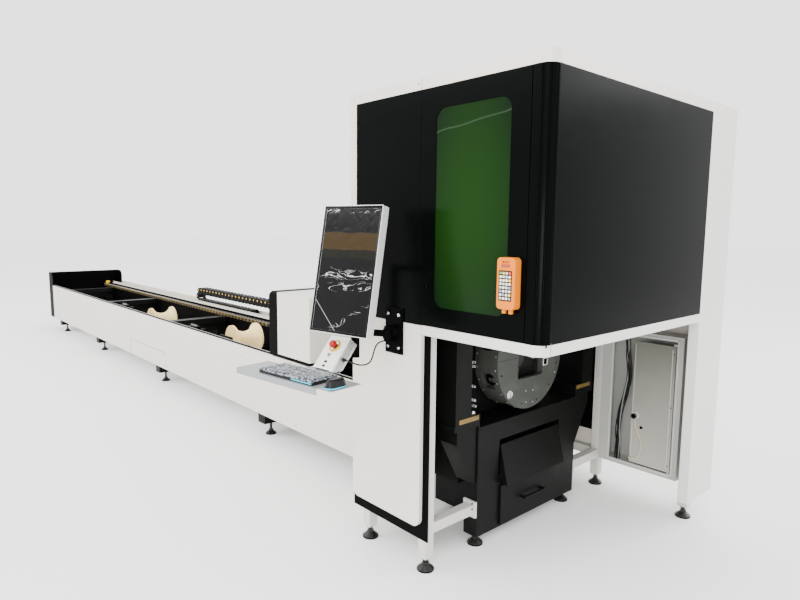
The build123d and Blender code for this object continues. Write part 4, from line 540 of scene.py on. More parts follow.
def add_screw(work, place, radius, height):
    """A domed screw head with a hexagon socket."""
    floor = height * 0.4
    add_turned(work, place, [(radius, 0.0), (radius, height * 0.55), (radius * 0.8, height),
                             (radius * 0.5, height), (radius * 0.42, floor), (0, floor)], 14)


# Cords: routes repeated from the part, drawn as smooth splines
def spline_points(points, samples=12):
    """Points along the smooth curve that has the route as its control points."""
    curve = bpy.data.curves.new("route", "CURVE")
    curve.dimensions = "3D"
    curve.resolution_u = samples
    line = curve.splines.new("NURBS")
    line.points.add(len(points) - 1)
    for point, place in zip(line.points, points):
        point.co = (*place, 1.0)
    line.order_u = 3
    line.use_endpoint_u = True
    holder = bpy.data.objects.new("route", curve)
    mesh = bpy.data.meshes.new_from_object(holder)
    places = [vertex.co.copy() for vertex in mesh.vertices]
    bpy.data.objects.remove(holder)
    bpy.data.curves.remove(curve)
    bpy.data.meshes.remove(mesh)
    return places


def add_tube(work, path, radius, steps=12):
    """A round tube round a path, with frames carried along it without twist."""
    rings = []
    side = None
    for i, point in enumerate(path):
        ahead = (path[min(i + 1, len(path) - 1)] - path[max(i - 1, 0)]).normalized()
        if side is None:
            side = ahead.orthogonal().normalized()
        side = (side - ahead * side.dot(ahead)).normalized()
        other = ahead.cross(side)
        rings.append([work.verts.new(point + radius * (
            side * math.cos(TURN * k / steps) + other * math.sin(TURN * k / steps)))
            for k in range(steps)])
    for lower, upper in zip(rings, rings[1:]):
        for k in range(steps):
            work.faces.new((lower[k], lower[(k + 1) % steps], upper[(k + 1) % steps], upper[k]))
    work.faces.new(rings[0][::-1])
    work.faces.new(rings[-1])


# The control box's face: its axes and its middle
BOX_ANGLE = math.radians(7.0)
BOX_LEAN = math.radians(41.8)
box_along = Vector((math.cos(BOX_ANGLE), math.sin(BOX_ANGLE), 0))
box_normal = Vector((math.sin(BOX_ANGLE) * math.cos(BOX_LEAN), -math.cos(BOX_ANGLE) * math.cos(BOX_LEAN),
                     math.sin(BOX_LEAN)))
box_up = box_normal.cross(box_along)
box_face = from_corner(0.968, 0.250, 1.015)


def on_box(across, upward, out):
    """A point on the control box's face."""
    return box_face + box_along * across + box_up * upward + box_normal * out


gland_place = on_box(0.0755, -0.005, -0.0253)
console_route = [
    gland_place,
    gland_place + box_along * 0.026,
    from_corner(0.845, 0.205, 0.982),
    from_corner(0.827, 0.177, 0.976),
    from_corner(0.822, 0.146, 0.980),
    from_corner(0.823, 0.126, 1.001),
    from_corner(0.832, 0.108, 1.033),
    from_corner(0.843, 0.084, 1.058),
    from_corner(0.849, 0.052, 1.068),
    from_corner(0.849, 0.020, 1.068),
]
harness_route = [
    from_corner(0.498, -1.600, 0.9975),
    from_corner(0.498, -1.600, 0.930),
    from_corner(0.491, -1.600, 0.852),
    from_corner(0.478, -1.599, 0.768),
    from_corner(0.474, -1.595, 0.684),
    from_corner(0.487, -1.592, 0.600),
    from_corner(0.508, -1.590, 0.520),
    from_corner(0.524, -1.589, 0.438),
    from_corner(0.529, -1.591, 0.356),
    from_corner(0.525, -1.592, 0.284),
    from_corner(0.525, -1.592, 0.1825),
]
BAY_FRONT_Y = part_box("electrical_cabinet")[0][1]
LEAD_Y = BAY_FRONT_Y + 0.0025 - 0.0055
lock_route = [
    Vector((END_X - back, LEAD_Y - out, z))
    for back, out, z in (
        (0.385, 0.0, 0.479), (0.385, 0.0, 0.450), (0.372, 0.002, 0.420), (0.353, 0.003, 0.392),
        (0.341, 0.003, 0.360), (0.337, 0.003, 0.324), (0.341, 0.0025, 0.290), (0.355, 0.002, 0.262),
        (0.376, 0.0, 0.240), (0.402, 0.0, 0.240),
    )
]


def make_cords():
    """The console's lead, the cabinet's wiring bundle and the thin lock lead."""
    path = spline_points(console_route)
    mesh = bpy.data.meshes.new("console_lead")
    work = bmesh.new()
    add_tube(work, path, 0.0035)
    work.to_mesh(mesh)
    work.free()
    smooth_faces(mesh)
    piece = show("console_lead", mesh, "cable_black")
    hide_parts("console_cable")
    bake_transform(piece)

    path = spline_points(harness_route, 8)
    core, strand, spread = 0.0050, 0.0034, 0.0115
    strands = [(0.0, 0.0, core)] + [
        (spread * math.cos(k * math.pi / 4), spread * math.sin(k * math.pi / 4), strand) for k in range(8)]

    def strands_of(numbers, thicker=0.0):
        """A builder of these strands, twisted loosely round the bundle's middle."""
        def build(work):
            for number in numbers:
                side, out, radius = strands[number]
                line = []
                for i, point in enumerate(path):
                    swirl = 0.9 * math.sin(i * 0.11 + number) + i * 0.012
                    loose = 1.0 + 0.20 * math.sin(i * 0.16 + 2.1 * number)
                    line.append(point + Vector((
                        loose * (side * math.cos(swirl) - out * math.sin(swirl)),
                        loose * (side * math.sin(swirl) + out * math.cos(swirl)), 0)))
                add_tube(work, line, radius + thicker, 8)
        return build

    bundle = add_piece("wiring_bundle", strands_of(range(9)), "machine", "cable_black")
    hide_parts("cabinet_harness")
    grey = add_piece("wiring_grey_strands", strands_of((3, 7), 0.0005), "machine", "cable_grey")

    path = spline_points(lock_route)
    lead = add_piece("lock_lead", lambda work: add_tube(work, path, 0.0025, 10), "electrical_door",
                     "cable_cream")
    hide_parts("lock_cable")


make_cords()


# Monitor: its screen face, with the broken reflections that lie across it
MONITOR_TURN = math.radians(11.0)
monitor_along = Vector((math.cos(MONITOR_TURN), math.sin(MONITOR_TURN), 0))
monitor_out = Vector((math.sin(MONITOR_TURN) * math.cos(MONITOR_TURN), -math.cos(MONITOR_TURN) ** 2,
                      math.sin(MONITOR_TURN)))
monitor_up = monitor_out.cross(monitor_along)
monitor_face = from_corner(0.818, 0.280, 1.411)
monitor_place = axes_at(monitor_face, monitor_along, monitor_up, monitor_out)
MONITOR_HALF = (0.166, 0.2785)
SCREEN_HALF = (0.153, 0.2655)


def screen_finish():
    """Black glass under creased film: a brown and a green band of painted reflection, and painted white
    glints.
    """
    shade = Shade("screen_glass")
    across = shade.along(monitor_face, monitor_along)
    upward = shade.along(monitor_face, monitor_up)
    wave = (shade.noise(9.0, 3.0) - 0.5) * 0.035
    level = upward + wave * 0.7
    tone = shade.mix(shade.noise(6.0, 4.0), (0.0015, 0.0015, 0.0018), (0.006, 0.006, 0.0065))
    # Painted reflections: a brown band, and a green band below it.
    tone = shade.mix(level.between(0.086, 0.160, 0.006) * 0.95, tone, (0.027, 0.0168, 0.0060))
    tone = shade.mix(level.between(0.050, 0.084, 0.010) * 0.6, tone, (0.0085, 0.0086, 0.0052))
    folds = shade.noise(7.0, 2.0, stretch=(1.0, 1.0, 3.2), distortion=1.6)
    crease = (folds - 0.5).absolute().below(0.010, 0.012)
    painted_glint_bands = (upward + 0.020 + wave).absolute().below(0.016, 0.02)
    painted_glint_bands = painted_glint_bands.at_least((upward + 0.075 - across * 0.10 + wave).absolute().below(0.013, 0.02) * 0.8)
    painted_glint_bands = painted_glint_bands.at_least((upward - 0.255 + wave * 0.5).absolute().below(0.006, 0.012))
    painted_glint_bands = painted_glint_bands.at_least((upward + 0.235 - across * 0.6 + wave).absolute().below(0.008, 0.016) * 0.7)
    # Painted white glints where the film's creases cross these bands.
    tone = shade.mix((crease * painted_glint_bands) * 0.85, tone, (0.62, 0.62, 0.60))
    # Painted highlight along the film's edge.
    painted_film_edge_highlight = (upward + 0.2834 + across * 0.95).absolute().below(0.0020, 0.0014) * 0.55
    tone = shade.mix(painted_film_edge_highlight, tone, (0.40, 0.40, 0.39))
    return shade.done(color=tone, rough=0.12 + shade.noise(30.0, 3.0) * 0.1, specular=0.08,
                      normal=shade.bump(shade.noise(16.0, 5.0, distortion=1.0), 0.35, 0.004))


def make_monitor():
    """The screen glass, a black bezel with a bright lip, and screws and vents on the back."""
    finish["screen_glass"] = screen_finish()

    def glass(work):
        wide, tall = SCREEN_HALF
        add_block(work, (-wide, -tall, -0.0020), (wide, tall, -0.0008), 0.0004, monitor_place, 1)

    add_piece("monitor_screen", glass, "monitor", "screen_glass")

    def bezel(work):
        add_rim(work, monitor_place, MONITOR_HALF, SCREEN_HALF, 0.0012, 0.0005)

    add_piece("monitor_bezel", bezel, "monitor", "bezel_black")

    def lip(work):
        """A thin bright edge round the bezel."""
        add_rim(work, monitor_place, (0.1665, 0.2790), (0.1642, 0.2765), 0.0022, 0.0005)

    add_piece("monitor_lip", lip, "monitor", "bezel")

    def back(work):
        case_depth = 0.042
        place = moved(monitor_place, 0, 0, -case_depth) @ Matrix.Rotation(math.pi, 4, "Y")
        for across in (-0.145, 0.145):
            for upward in (-0.255, 0.0, 0.255):
                add_screw(work, moved(place, across, upward), 0.004, 0.002)
        for row in range(9):
            rise = row * 0.010
            add_block(work, (-0.09, 0.14 + rise, 0.0), (0.09, 0.145 + rise, 0.0012), 0.0005, place)

    add_piece("monitor_back_fittings", back, "monitor", "key_plastic")


# Control box: face plate, stop's ring and arrows, key's collar, ports, ribs and gland
def make_control_box():
    face = axes_at(box_face, box_along, box_up, box_normal)
    stop_across, stop_upward = -0.003, 0.043

    def plate(work):
        add_block(work, (-0.0585, -0.071, 0.0), (0.0585, 0.090, 0.0009), 0.0004, face)
        for across in (-0.052, 0.052):
            for upward in (-0.064, 0.083):
                add_screw(work, moved(face, across, upward, 0.0008), 0.0028, 0.0012)

    add_piece("control_face_plate", plate, "console", "box_white")

    def ring(work):
        add_turned(work, moved(face, stop_across, stop_upward),
                   [(0.0222, 0.0008), (0.0320, 0.0008), (0.0320, 0.0046), (0.0306, 0.0058),
                    (0.0226, 0.0058), (0.0222, 0.0008)], 40)

    add_piece("stop_ring", ring, "console", "stop_yellow")

    def marks(work):
        """Turning arrows round the stop's ring."""
        for k in range(3):
            start = k * TURN / 3
            inner = []
            outer = []
            for step in range(6):
                angle = start + step * 0.22
                for radius, row in ((0.0250, inner), (0.0276, outer)):
                    row.append(work.verts.new(face @ Vector((
                        stop_across + radius * math.cos(angle), stop_upward + radius * math.sin(angle),
                        0.0060))))
            for a, b, c, d in zip(inner, inner[1:], outer[1:], outer):
                work.faces.new((a, b, c, d))

    add_piece("stop_ring_arrows", marks, "console", "key_plastic")

    def collar(work):
        add_turned(work, moved(face, -0.0075, -0.008),
                   [(0.0090, 0.0008), (0.0125, 0.0008), (0.0125, 0.0026), (0.0112, 0.0036),
                    (0.0094, 0.0036), (0.0090, 0.0008)], 28)

    add_piece("key_collar", collar, "console", "chrome")

    def ports(work):
        """Two sockets: a raised rim round a flat floor."""
        for across, upward, wide in ((-0.0045, -0.042, 0.007), (-0.003, -0.064, 0.0065)):
            place = moved(face, across, upward, 0.0008)
            add_rim(work, place, (wide + 0.002, 0.0055), (wide, 0.0035), 0.0012, 0.0)
            add_block(work, (-wide, -0.0035, 0), (wide, 0.0035, 0.0002), 0.0, place)

    add_piece("control_ports", ports, "console", "key_plastic")

    def ribs(work):
        """Fine ribs down both aluminium cheeks."""
        for side in (-1, 1):
            for row in range(8):
                depth = -0.006 - row * 0.0055
                add_block(work, (side * 0.0635 - 0.0006, -0.060, depth - 0.0011),
                          (side * 0.0635 + 0.0006, 0.088, depth + 0.0011), 0.0003, face, 1)

    add_piece("control_box_ribs", ribs, "console", "aluminium")

    def gland(work):
        add_turned(work, axes_at(console_route[0], box_up, box_normal, box_along),
                   [(0.0, -0.012), (0.0085, -0.012), (0.0085, -0.004), (0.0070, -0.003),
                    (0.0062, 0.004), (0.0040, 0.010), (0.0036, 0.010)], 18)

    add_piece("console_lead_gland", gland, "console", "key_plastic")


# Remote control: coloured key tops on the moulded keys
def make_remote_keys():
    low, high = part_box("remote_control")
    middle = (low[0] + high[0]) / 2
    centre_z = 1.388 - 0.008
    front = low[1]
    step_x, step_z = 0.014, 0.0136
    tints = {(0, 0): "green", (0, 1): "yellow", (0, 3): "red", (2, 3): "yellow", (6, 3): "yellow",
             (1, 2): "mint", (3, 1): "mint", (4, 3): "blue", (5, 0): "blue", (4, 0): "mint", (5, 2): "mint",
             (6, 1): "blue", (7, 3): "blue", (0, 2): "mint", (7, 0): "mint"}
    colours = {"white": (0.78, 0.78, 0.76), "mint": (0.46, 0.66, 0.62), "yellow": (0.85, 0.60, 0.03),
               "green": (0.02, 0.42, 0.16), "red": (0.70, 0.02, 0.02), "blue": (0.16, 0.34, 0.46)}
    for tint, colour in colours.items():
        def build(work):
            for row in range(8):
                for column in range(4):
                    if tints.get((row, column), "white") == tint:
                        x = middle + (column - 1.5) * step_x
                        z = centre_z - (row - 3.5) * step_z
                        add_block(work, (x - 0.0048, front - 0.0006, z - 0.0043),
                                  (x + 0.0048, front + 0.0004, z + 0.0043), 0.0003, segments=1)

        finish["remote_key_" + tint] = plastic("remote_key_" + tint, colour, rough=0.35)
        add_piece("remote_keys_" + tint, build, "front_door", "remote_key_" + tint)

    def pad(work):
        """The dark membrane round the keys."""
        for row in range(9):
            z = centre_z - (row - 4) * step_z
            add_block(work, (middle - 0.0305, front + 0.0005, z - 0.0020),
                      (middle + 0.0305, front + 0.0012, z + 0.0020), 0.0, segments=1)
        for column in range(5):
            x = middle + (column - 2) * step_x
            add_block(work, (x - 0.0018, front + 0.0006, centre_z - 0.0570),
                      (x + 0.0018, front + 0.0011, centre_z + 0.0570), 0.0, segments=1)

    add_piece("remote_keypad_membrane", pad, "front_door", "key_plastic")

    finish["remote_display"] = plastic("remote_display", (0.28, 0.035, 0.01))

    def display(work):
        add_block(work, (middle - 0.020, front - 0.0004, 1.449), (middle + 0.020, front + 0.001, 1.461),
                  0.0008)

    add_piece("remote_display", display, "front_door", "remote_display")


# Keyboard: a loose clear cover over its keys, the light on its edge, and the mouse's lit foot
def make_keyboard_cover():
    back = Vector((-math.sin(BOX_ANGLE), math.cos(BOX_ANGLE), 0))
    centre = from_corner(0.933, 0.41615, 0.945)
    middle = Matrix.Translation(centre) @ Matrix.Rotation(BOX_ANGLE, 4, "Z")
    keyboard_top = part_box("keyboard")[1][2]

    def build(work):
        columns, rows = 64, 28
        grid = []
        for i in range(columns + 1):
            line = []
            for j in range(rows + 1):
                u = -0.028 + (i / columns - 0.5) * 0.366
                v = -0.016 + (j / rows - 0.5) * 0.156
                rise = noise.noise(Vector((u * 26, v * 34, 1.7))) * 0.0035
                rise += abs(noise.noise(Vector((u * 60, v * 80, 4.1)))) * 0.0025
                edge = min(i, columns - i, j * 1.4, (rows - j) * 1.4)
                drop = 0.010 * max(0.0, 1.0 - edge / 2.0)
                place = centre + box_along * u + back * v
                place.z = keyboard_top + 0.0042 + rise - drop
                line.append(work.verts.new(place))
            grid.append(line)
        for a, b in zip(grid, grid[1:]):
            for j in range(rows):
                work.faces.new((a[j], b[j], b[j + 1], a[j + 1]))

    shade = Shade("keyboard_film")
    # Painted highlights: the film is lighter and more opaque along its creases.
    crease = (shade.noise(38.0, 3.0, distortion=1.4) - 0.5).absolute().below(0.03, 0.05)
    tone = shade.mix(crease, (0.10, 0.13, 0.17), (0.55, 0.60, 0.66))
    finish["keyboard_film"] = shade.done(
        color=tone, rough=0.16, alpha=0.24 + crease * 0.5,
        normal=shade.bump(shade.noise(60.0, 4.0, distortion=1.0), 0.5, 0.003))
    add_piece("keyboard_film", build, "console", "keyboard_film")

    def strip(work):
        add_block(work, (0.020, -0.0925, 0.0045), (0.150, -0.0910, 0.0105), 0.0006, middle)

    add_piece("keyboard_edge_light", strip, "console", "cyan")

    def mouse_foot(work):
        """A band with rounded corners round the mouse's foot."""
        place = moved(middle, 0.238, -0.041)
        steps = 36
        angles = [k * TURN / steps for k in range(steps)]
        rings = [[work.verts.new(place @ Vector((
            (0.0300 + grow) * math.copysign(abs(math.cos(a)) ** 0.7, math.cos(a)),
            (0.0510 + grow) * math.copysign(abs(math.sin(a)) ** 0.7, math.sin(a)), height)))
            for a in angles] for height, grow in ((0.001, 0.0), (0.0045, 0.0012), (0.0075, 0.0))]
        for low, high in zip(rings, rings[1:]):
            for k in range(steps):
                work.faces.new((low[k], low[(k + 1) % steps], high[(k + 1) % steps], high[k]))

    add_piece("mouse_foot_light", mouse_foot, "console", "cyan")


# Wall bracket bolts
def make_bracket_bolts():
    low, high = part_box("console_bracket")

    def build(work):
        for x in (low[0] + 0.022, high[0] - 0.022):
            for z in (low[2] + 0.03, high[2] - 0.03):
                add_screw(work, facing((x, FRONT_Y - 0.008, z), TO_FRONT), 0.0085, 0.006)

    add_piece("bracket_bolts", build, "machine", "chrome")


# Front chuck: the plug, port, joint and screws of its face, its rim's pocket and the air fittings
def make_chuck_details():
    face_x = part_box("front_chuck_drum")[1][0]

    def place(y, z):
        return facing((face_x, y, z), TO_END)

    def plug(work):
        here = place(0.063, 0.742)
        add_turned(work, here, [(0.0215, 0.0), (0.0215, 0.0035), (0.0190, 0.0045), (0.0170, 0.0030),
                                (0.0165, 0.0012), (0.006, 0.0012), (0.005, 0.0030), (0.0, 0.0032)], 36)
        for angle in (0.3, 2.4, 4.5):
            add_disc(work, moved(here @ Matrix.Rotation(angle, 4, "Z"), 0.0105, 0, 0.001),
                     0.0022, 0.001, 10)

    add_piece("chuck_plug", plug, "front_chuck", "chrome")

    port = place(0.366, 0.874)
    opening = 0.015

    def port_rim(work):
        add_rim(work, port, (0.021, 0.021), (opening, opening), 0.003, 0.001)

    add_piece("chuck_port_rim", port_rim, "front_chuck", "bezel")

    def port_floor(work):
        """The port's dark floor, and the four round holes of the face."""
        add_block(work, (-opening, -opening, 0.0), (opening, opening, 0.0006), 0.0, port)
        from_axis = 0.14
        for k in range(4):
            angle = 0.8 + k * math.pi / 2
            hole = place(LINE_Y + from_axis * math.cos(angle), LINE_Z + from_axis * math.sin(angle))
            add_disc(work, hole, 0.0045, 0.0008, 12)

    add_piece("chuck_port_floor", port_floor, "front_chuck", "dark_and_hole_shade")

    pocket_angle = math.radians(199)
    outward = Vector((0, math.cos(pocket_angle), math.sin(pocket_angle)))
    pocket = facing(Vector((face_x - 0.0555, LINE_Y, LINE_Z)) + outward * 0.272, outward, TO_END)

    def pocket_lining(work):
        add_turned(work, pocket, [(0.0, 0.0), (0.033, 0.0), (0.033, 0.0026), (0.0, 0.0026)], 32)

    add_piece("drum_pocket_lining", pocket_lining, "front_chuck", "dark_and_hole_shade")

    def pocket_rim(work):
        add_turned(work, pocket, [(0.033, 0.0), (0.0352, 0.0), (0.0352, 0.0034), (0.033, 0.0034),
                                  (0.033, 0.0)], 36)
        add_turned(work, pocket, [(0.0, 0.0026), (0.010, 0.0026), (0.012, 0.0038), (0.0, 0.0038)], 6)

    add_piece("drum_pocket_rim", pocket_rim, "front_chuck", "chuck_steel")

    housing_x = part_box("front_chuck_housing")[1][0]

    def air_fittings(work):
        """Air fittings on the housing's front, beside the drum."""
        for y, z in ((-0.064, 0.908), (-0.064, 0.885), (-0.062, 0.779), (-0.058, 0.705), (-0.052, 0.672)):
            here = facing((housing_x, y, z), TO_END)
            add_turned(work, here, [(0.0, 0.0), (0.009, 0.0), (0.009, 0.010), (0.0065, 0.012),
                                    (0.0065, 0.024), (0.0, 0.025)], 12)

    add_piece("chuck_air_fittings", air_fittings, "machine", "bezel")

    def screws(work):
        """Screws of the face plate, and two rings of screws round the drum's rim."""
        for y, z in ((0.200, 0.738), (0.262, 0.732), (0.205, 0.676), (0.262, 0.668), (0.0, 0.98),
                     (0.46, 0.80)):
            add_screw(work, place(y, z), 0.0045, 0.002)
        radius = 0.2755
        for k in range(24):
            angle = (k + 0.5) * math.pi / 12
            across, upward = math.cos(angle), math.sin(angle)
            for depth in (0.015, 0.136):
                point = (face_x - depth, LINE_Y + radius * across, LINE_Z + radius * upward)
                add_screw(work, facing(point, (0, across, upward), TO_END), 0.0045, 0.0018)

    add_piece("chuck_screws", screws, "front_chuck", "bright_steel")

    def seam(work):
        """The fine joint across the face plate, left of the window."""
        add_block(work, (-0.262, 0.010, 0.0), (-0.108, 0.0112, 0.0004), 0.0, place(LINE_Y, LINE_Z), 1)

    add_piece("chuck_face_joint", seam, "front_chuck", "dark_and_hole_shade")


# Machine base: brass plates and bolts on the gantry's feet, the sheet behind it, the tube's screws
def make_base_details():
    gantry_low, gantry_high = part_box("gantry")
    face_x = gantry_high[0]
    plate_z = gantry_low[2]

    def brass(work):
        width, thickness = 0.139, 0.0018
        for start in (gantry_low[1] + 0.026, gantry_high[1] - 0.165):
            add_block(work, (face_x, start, plate_z + 0.004),
                      (face_x + thickness, start + width, plate_z + 0.027), 0.0006)

    add_piece("gantry_foot_plates", brass, "machine", "brass")

    def bolts(work):
        """Four bolts with washers on each foot."""
        for start in (gantry_low[1] + 0.012, gantry_high[1] - 0.164):
            for x in (face_x - 0.150, face_x - 0.030):
                for y in (start + 0.115, start + 0.145):
                    seat = facing((x, y, plate_z + 0.030), TO_TOP, TO_END)
                    add_screw(work, seat, 0.011, 0.010)
                    add_disc(work, seat, 0.016, 0.002, 20)

    add_piece("gantry_bolts", bolts, "machine", "chrome")

    def liner(work):
        """Dark sheet inside the rear wall, between the rear posts, with two ribs."""
        left, right = 3.585, 3.930
        inner = REAR_Y - 0.0025
        add_block(work, (left, inner - 0.004, 0.29), (right, inner, 1.120), 0.001)
        for z in (0.5, 0.9):
            add_block(work, (left, inner - 0.008, z), (right, inner - 0.004, z + 0.02), 0.001)

    add_piece("rear_inner_sheet", liner, "machine", "black_paint")

    def tube_screws(work):
        tube_plate_x = 4.0
        for y, z in ((-0.230, 0.250), (-0.229, 0.221)):
            add_screw(work, facing((tube_plate_x, y, z), TO_END), 0.005, 0.003)

    add_piece("tube_plate_screws", tube_screws, "machine", "dark_and_hole_shade")


# Energy chain: links with side plates, crossbars and yellow pins
def add_link(work, pins, place, pitch, half):
    """One chain link round the local origin: X along the chain, Z up, half its height."""
    outer, inner = 0.0445, 0.0385
    for side in (-1, 1):
        low, high = sorted((side * outer, side * inner))
        add_block(work, (-pitch * 0.46, low, -half), (pitch * 0.30, high, half), 0.004, place, 1)
        low, high = sorted((side * 0.0415, side * 0.0355))
        add_block(work, (pitch * 0.16, low, 0.006 - half), (pitch * 0.56, high, half - 0.006),
                  0.004, place, 1)
        add_disc(pins, place @ facing((pitch * 0.02, side * 0.0446, half * 0.35), (0, side, 0)),
                 0.0088, 0.0003, 14)
        add_turned(work, place @ facing((pitch * 0.02, side * outer, -half * 0.3), (0, side, 0)),
                   [(half * 0.42, 0.0), (half * 0.42, 0.0004), (half * 0.34, 0.0004), (half * 0.34, 0.0)],
                   18)
    for height in (0.003 - half, half - 0.003):
        add_block(work, (-pitch * 0.22, -inner, height - 0.002), (pitch * 0.14, inner, height + 0.002),
                  0.001, place, 1)


def even_blend(piece):
    """Bakes a run's transform into its mesh."""
    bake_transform(piece)


def make_chain():
    upper_low, upper_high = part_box("chain_upper_run")
    lower_low, lower_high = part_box("chain_lower_run")
    bend_low, bend_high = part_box("chain_bend")
    middle_y = (upper_low[1] + upper_high[1]) / 2
    half = (upper_high[2] - upper_low[2]) / 2 - 0.001

    def run(name, low, high):
        """A straight run: its links and their yellow pins."""
        link_length = 0.080
        count = round((high[0] - low[0]) / link_length)
        pitch = (high[0] - low[0]) / count
        height = (low[2] + high[2]) / 2
        links = bmesh.new()
        pins = bmesh.new()
        for k in range(count):
            place = Matrix.Translation((low[0] + (k + 0.45) * pitch, middle_y, height))
            add_link(links, pins, place, pitch * 0.98, half)
        for part, work, key in (("_links", links, "chain_plastic"), ("_pins", pins, "chain_yellow")):
            piece = show(name + part, finished_mesh(name + part, work), key)
            if part == "_links":
                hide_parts(name)
            even_blend(piece)

    run("chain_upper_run", upper_low, upper_high)
    run("chain_lower_run", lower_low, lower_high)

    centre = Vector((bend_high[0], middle_y, (bend_low[2] + bend_high[2]) / 2))
    radius = (bend_high[2] - bend_low[2]) / 2 - half - 0.001
    count = 3
    pitch = math.pi * radius / count
    links = bmesh.new()
    pins = bmesh.new()
    for k in range(count):
        angle = math.pi / 2 + (k + 0.5) * math.pi / count
        spoke = Matrix.Translation(centre) @ Matrix.Rotation(-angle, 4, "Y")
        add_link(links, pins, moved(spoke, radius, 0) @ Matrix.Rotation(math.pi / 2, 4, "Y"), pitch, half)

    def trimmed(source):
        """The links, cut off flat where the straight runs begin."""
        def build(work):
            scratch = bpy.data.meshes.new("scratch")
            source.to_mesh(scratch)
            source.free()
            work.from_mesh(scratch)
            bpy.data.meshes.remove(scratch)
            cut = bmesh.ops.bisect_plane(
                work, geom=[*work.verts, *work.edges, *work.faces], dist=1e-6,
                plane_co=(bend_high[0] - 0.0005, 0, 0), plane_no=TO_END, clear_outer=True)
            rim = [item for item in cut["geom_cut"] if isinstance(item, bmesh.types.BMEdge)]
            bmesh.ops.holes_fill(work, edges=rim, sides=0)
        return build

    bend = add_piece("chain_bend_links", trimmed(links), "chain_bend", "chain_plastic")
    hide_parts("chain_bend")
    add_piece("chain_bend_pins", trimmed(pins), "chain_bend", "chain_yellow")


# Bed: the strips on its front edge, access cover, screws, bumper, rails, rack and valves
def make_bed_details():
    panel_low, panel_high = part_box("bed_side_panels")
    front = panel_low[1]
    top = panel_high[2]
    strip_ends = (panel_low[0] + 0.004, 3.45)

    def edge_strip(near, far, low, high, bevel):
        """A builder of a strip along the bed's front edge, by its depths and heights there."""
        def build(work):
            add_block(work, (strip_ends[0], front + near, top + low),
                      (strip_ends[1], front + far, top + high), bevel, segments=1)
        return build

    add_piece("bed_front_lip", edge_strip(0.0012, 0.012, 0, 0.0012, 0.0004), "machine",
              "white_paint")
    add_piece("bed_edge_strip", edge_strip(0.026, 0.031, 0.0002, 0.0022, 0.0006), "machine",
              "bright_steel")
    # The dark strip is painted shade in the gap between the lip and the rail.
    add_piece("bed_edge_gap_shade", edge_strip(0.0125, 0.0185, 0, 0.0095, 0.001), "machine",
              "dark_and_hole_shade")
    add_piece("bed_edge_rail", edge_strip(0.0190, 0.0225, 0, 0.0140, 0.001), "machine",
              "bright_steel")

    def cover(work):
        """Outline of the access cover in the middle panel: its top, left and right joints."""
        left, right, low, high = -1.017, -0.009, panel_low[2] + 0.003, 0.345
        for a, b in (((left, high - 0.006), (right, high)), ((left, low), (left + 0.008, high)),
                     ((right - 0.002, low), (right, high))):
            add_block(work, (a[0], front - 0.0006, a[1]), (b[0], front + 0.0002, b[1]), 0.0, segments=1)

    add_piece("access_cover_joint", cover, "machine", "joint_grey")

    def screws(work):
        for x in (-4.1, -3.2, -2.42, -1.98, -0.95, 0.039, 0.657, 0.725, 1.550, 2.35, 3.05):
            for z in (0.573, 0.215):
                add_screw(work, facing((x, front, z), TO_FRONT), 0.007, 0.002)

    add_piece("panel_screws", screws, "machine", "bright_steel")

    def stop(work):
        add_turned(work, facing((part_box("bed_end_cap")[0][0] + 0.030, 0.634, 0.654), TO_END),
                   [(0.0, 0.0), (0.030, 0.0), (0.030, 0.030), (0.024, 0.055), (0.0, 0.060)], 24)

    add_piece("carriage_bumper", stop, "machine", "stop_yellow")

    rail_low, rail_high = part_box("carriage_rails")
    rack_low, rack_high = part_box("gear_rack")

    def rail_holes(work):
        """Bolt holes down the middle of both rails."""
        spacing = 0.060
        for y in (rail_low[1] + 0.017, rail_high[1] - 0.017):
            for k in range(int((rail_high[0] - rail_low[0]) / spacing)):
                add_turned(work, Matrix.Translation((rail_low[0] + 0.03 + k * spacing, y, rail_high[2])),
                           [(0.0078, -0.0004), (0.0078, 0.0002), (0.0, 0.0002)], 10)

    add_piece("rail_bolt_holes", rail_holes, "machine", "dark_and_hole_shade")

    def teeth(work):
        """Slanted teeth along the rack's top, with a plain strip behind them."""
        pitch = 0.01257
        taper = 0.0009
        near, far = rack_low[1] + 0.0005, rack_high[1] - 0.008
        for k in range(int((rack_high[0] - rack_low[0]) / pitch)):
            x = rack_low[0] + k * pitch + 0.002
            corners = [(x, near), (x + 0.0058, near), (x + 0.0108, far), (x + 0.0050, far)]
            if corners[2][0] < rack_high[0]:
                foot = [work.verts.new((a, b, rack_high[2] - 0.0005)) for a, b in corners]
                crown = [work.verts.new((a + taper * inward, b, rack_high[2] + 0.0016))
                         for inward, (a, b) in zip((1, -1, -1, 1), corners)]
                work.faces.new(crown)
                for i in range(4):
                    j = (i + 1) % 4
                    work.faces.new((foot[i], foot[j], crown[j], crown[i]))

    add_piece("rack_teeth", teeth, "machine", "tooth_steel")

    valve_places = (-1.70, 0.28)

    def valves(work):
        for x in valve_places:
            add_block(work, (x - 0.10, -0.096, 0.590), (x + 0.10, 0.060, 0.605), 0.002)
            add_block(work, (x - 0.07, -0.060, 0.605), (x + 0.07, 0.020, 0.632), 0.003)

    add_piece("valve_blocks", valves, "machine", "black_paint")

    def valve_fittings(work):
        for x in valve_places:
            for k in range(4):
                add_turned(work, facing((x - 0.05 + k * 0.034, -0.020, 0.631), TO_TOP, TO_END),
                           [(0.0, -0.002), (0.009, -0.002), (0.009, 0.008), (0.006, 0.010), (0.006, 0.016),
                            (0.0, 0.017)], 12)

    add_piece("valve_fittings", valve_fittings, "machine", "bright_steel")


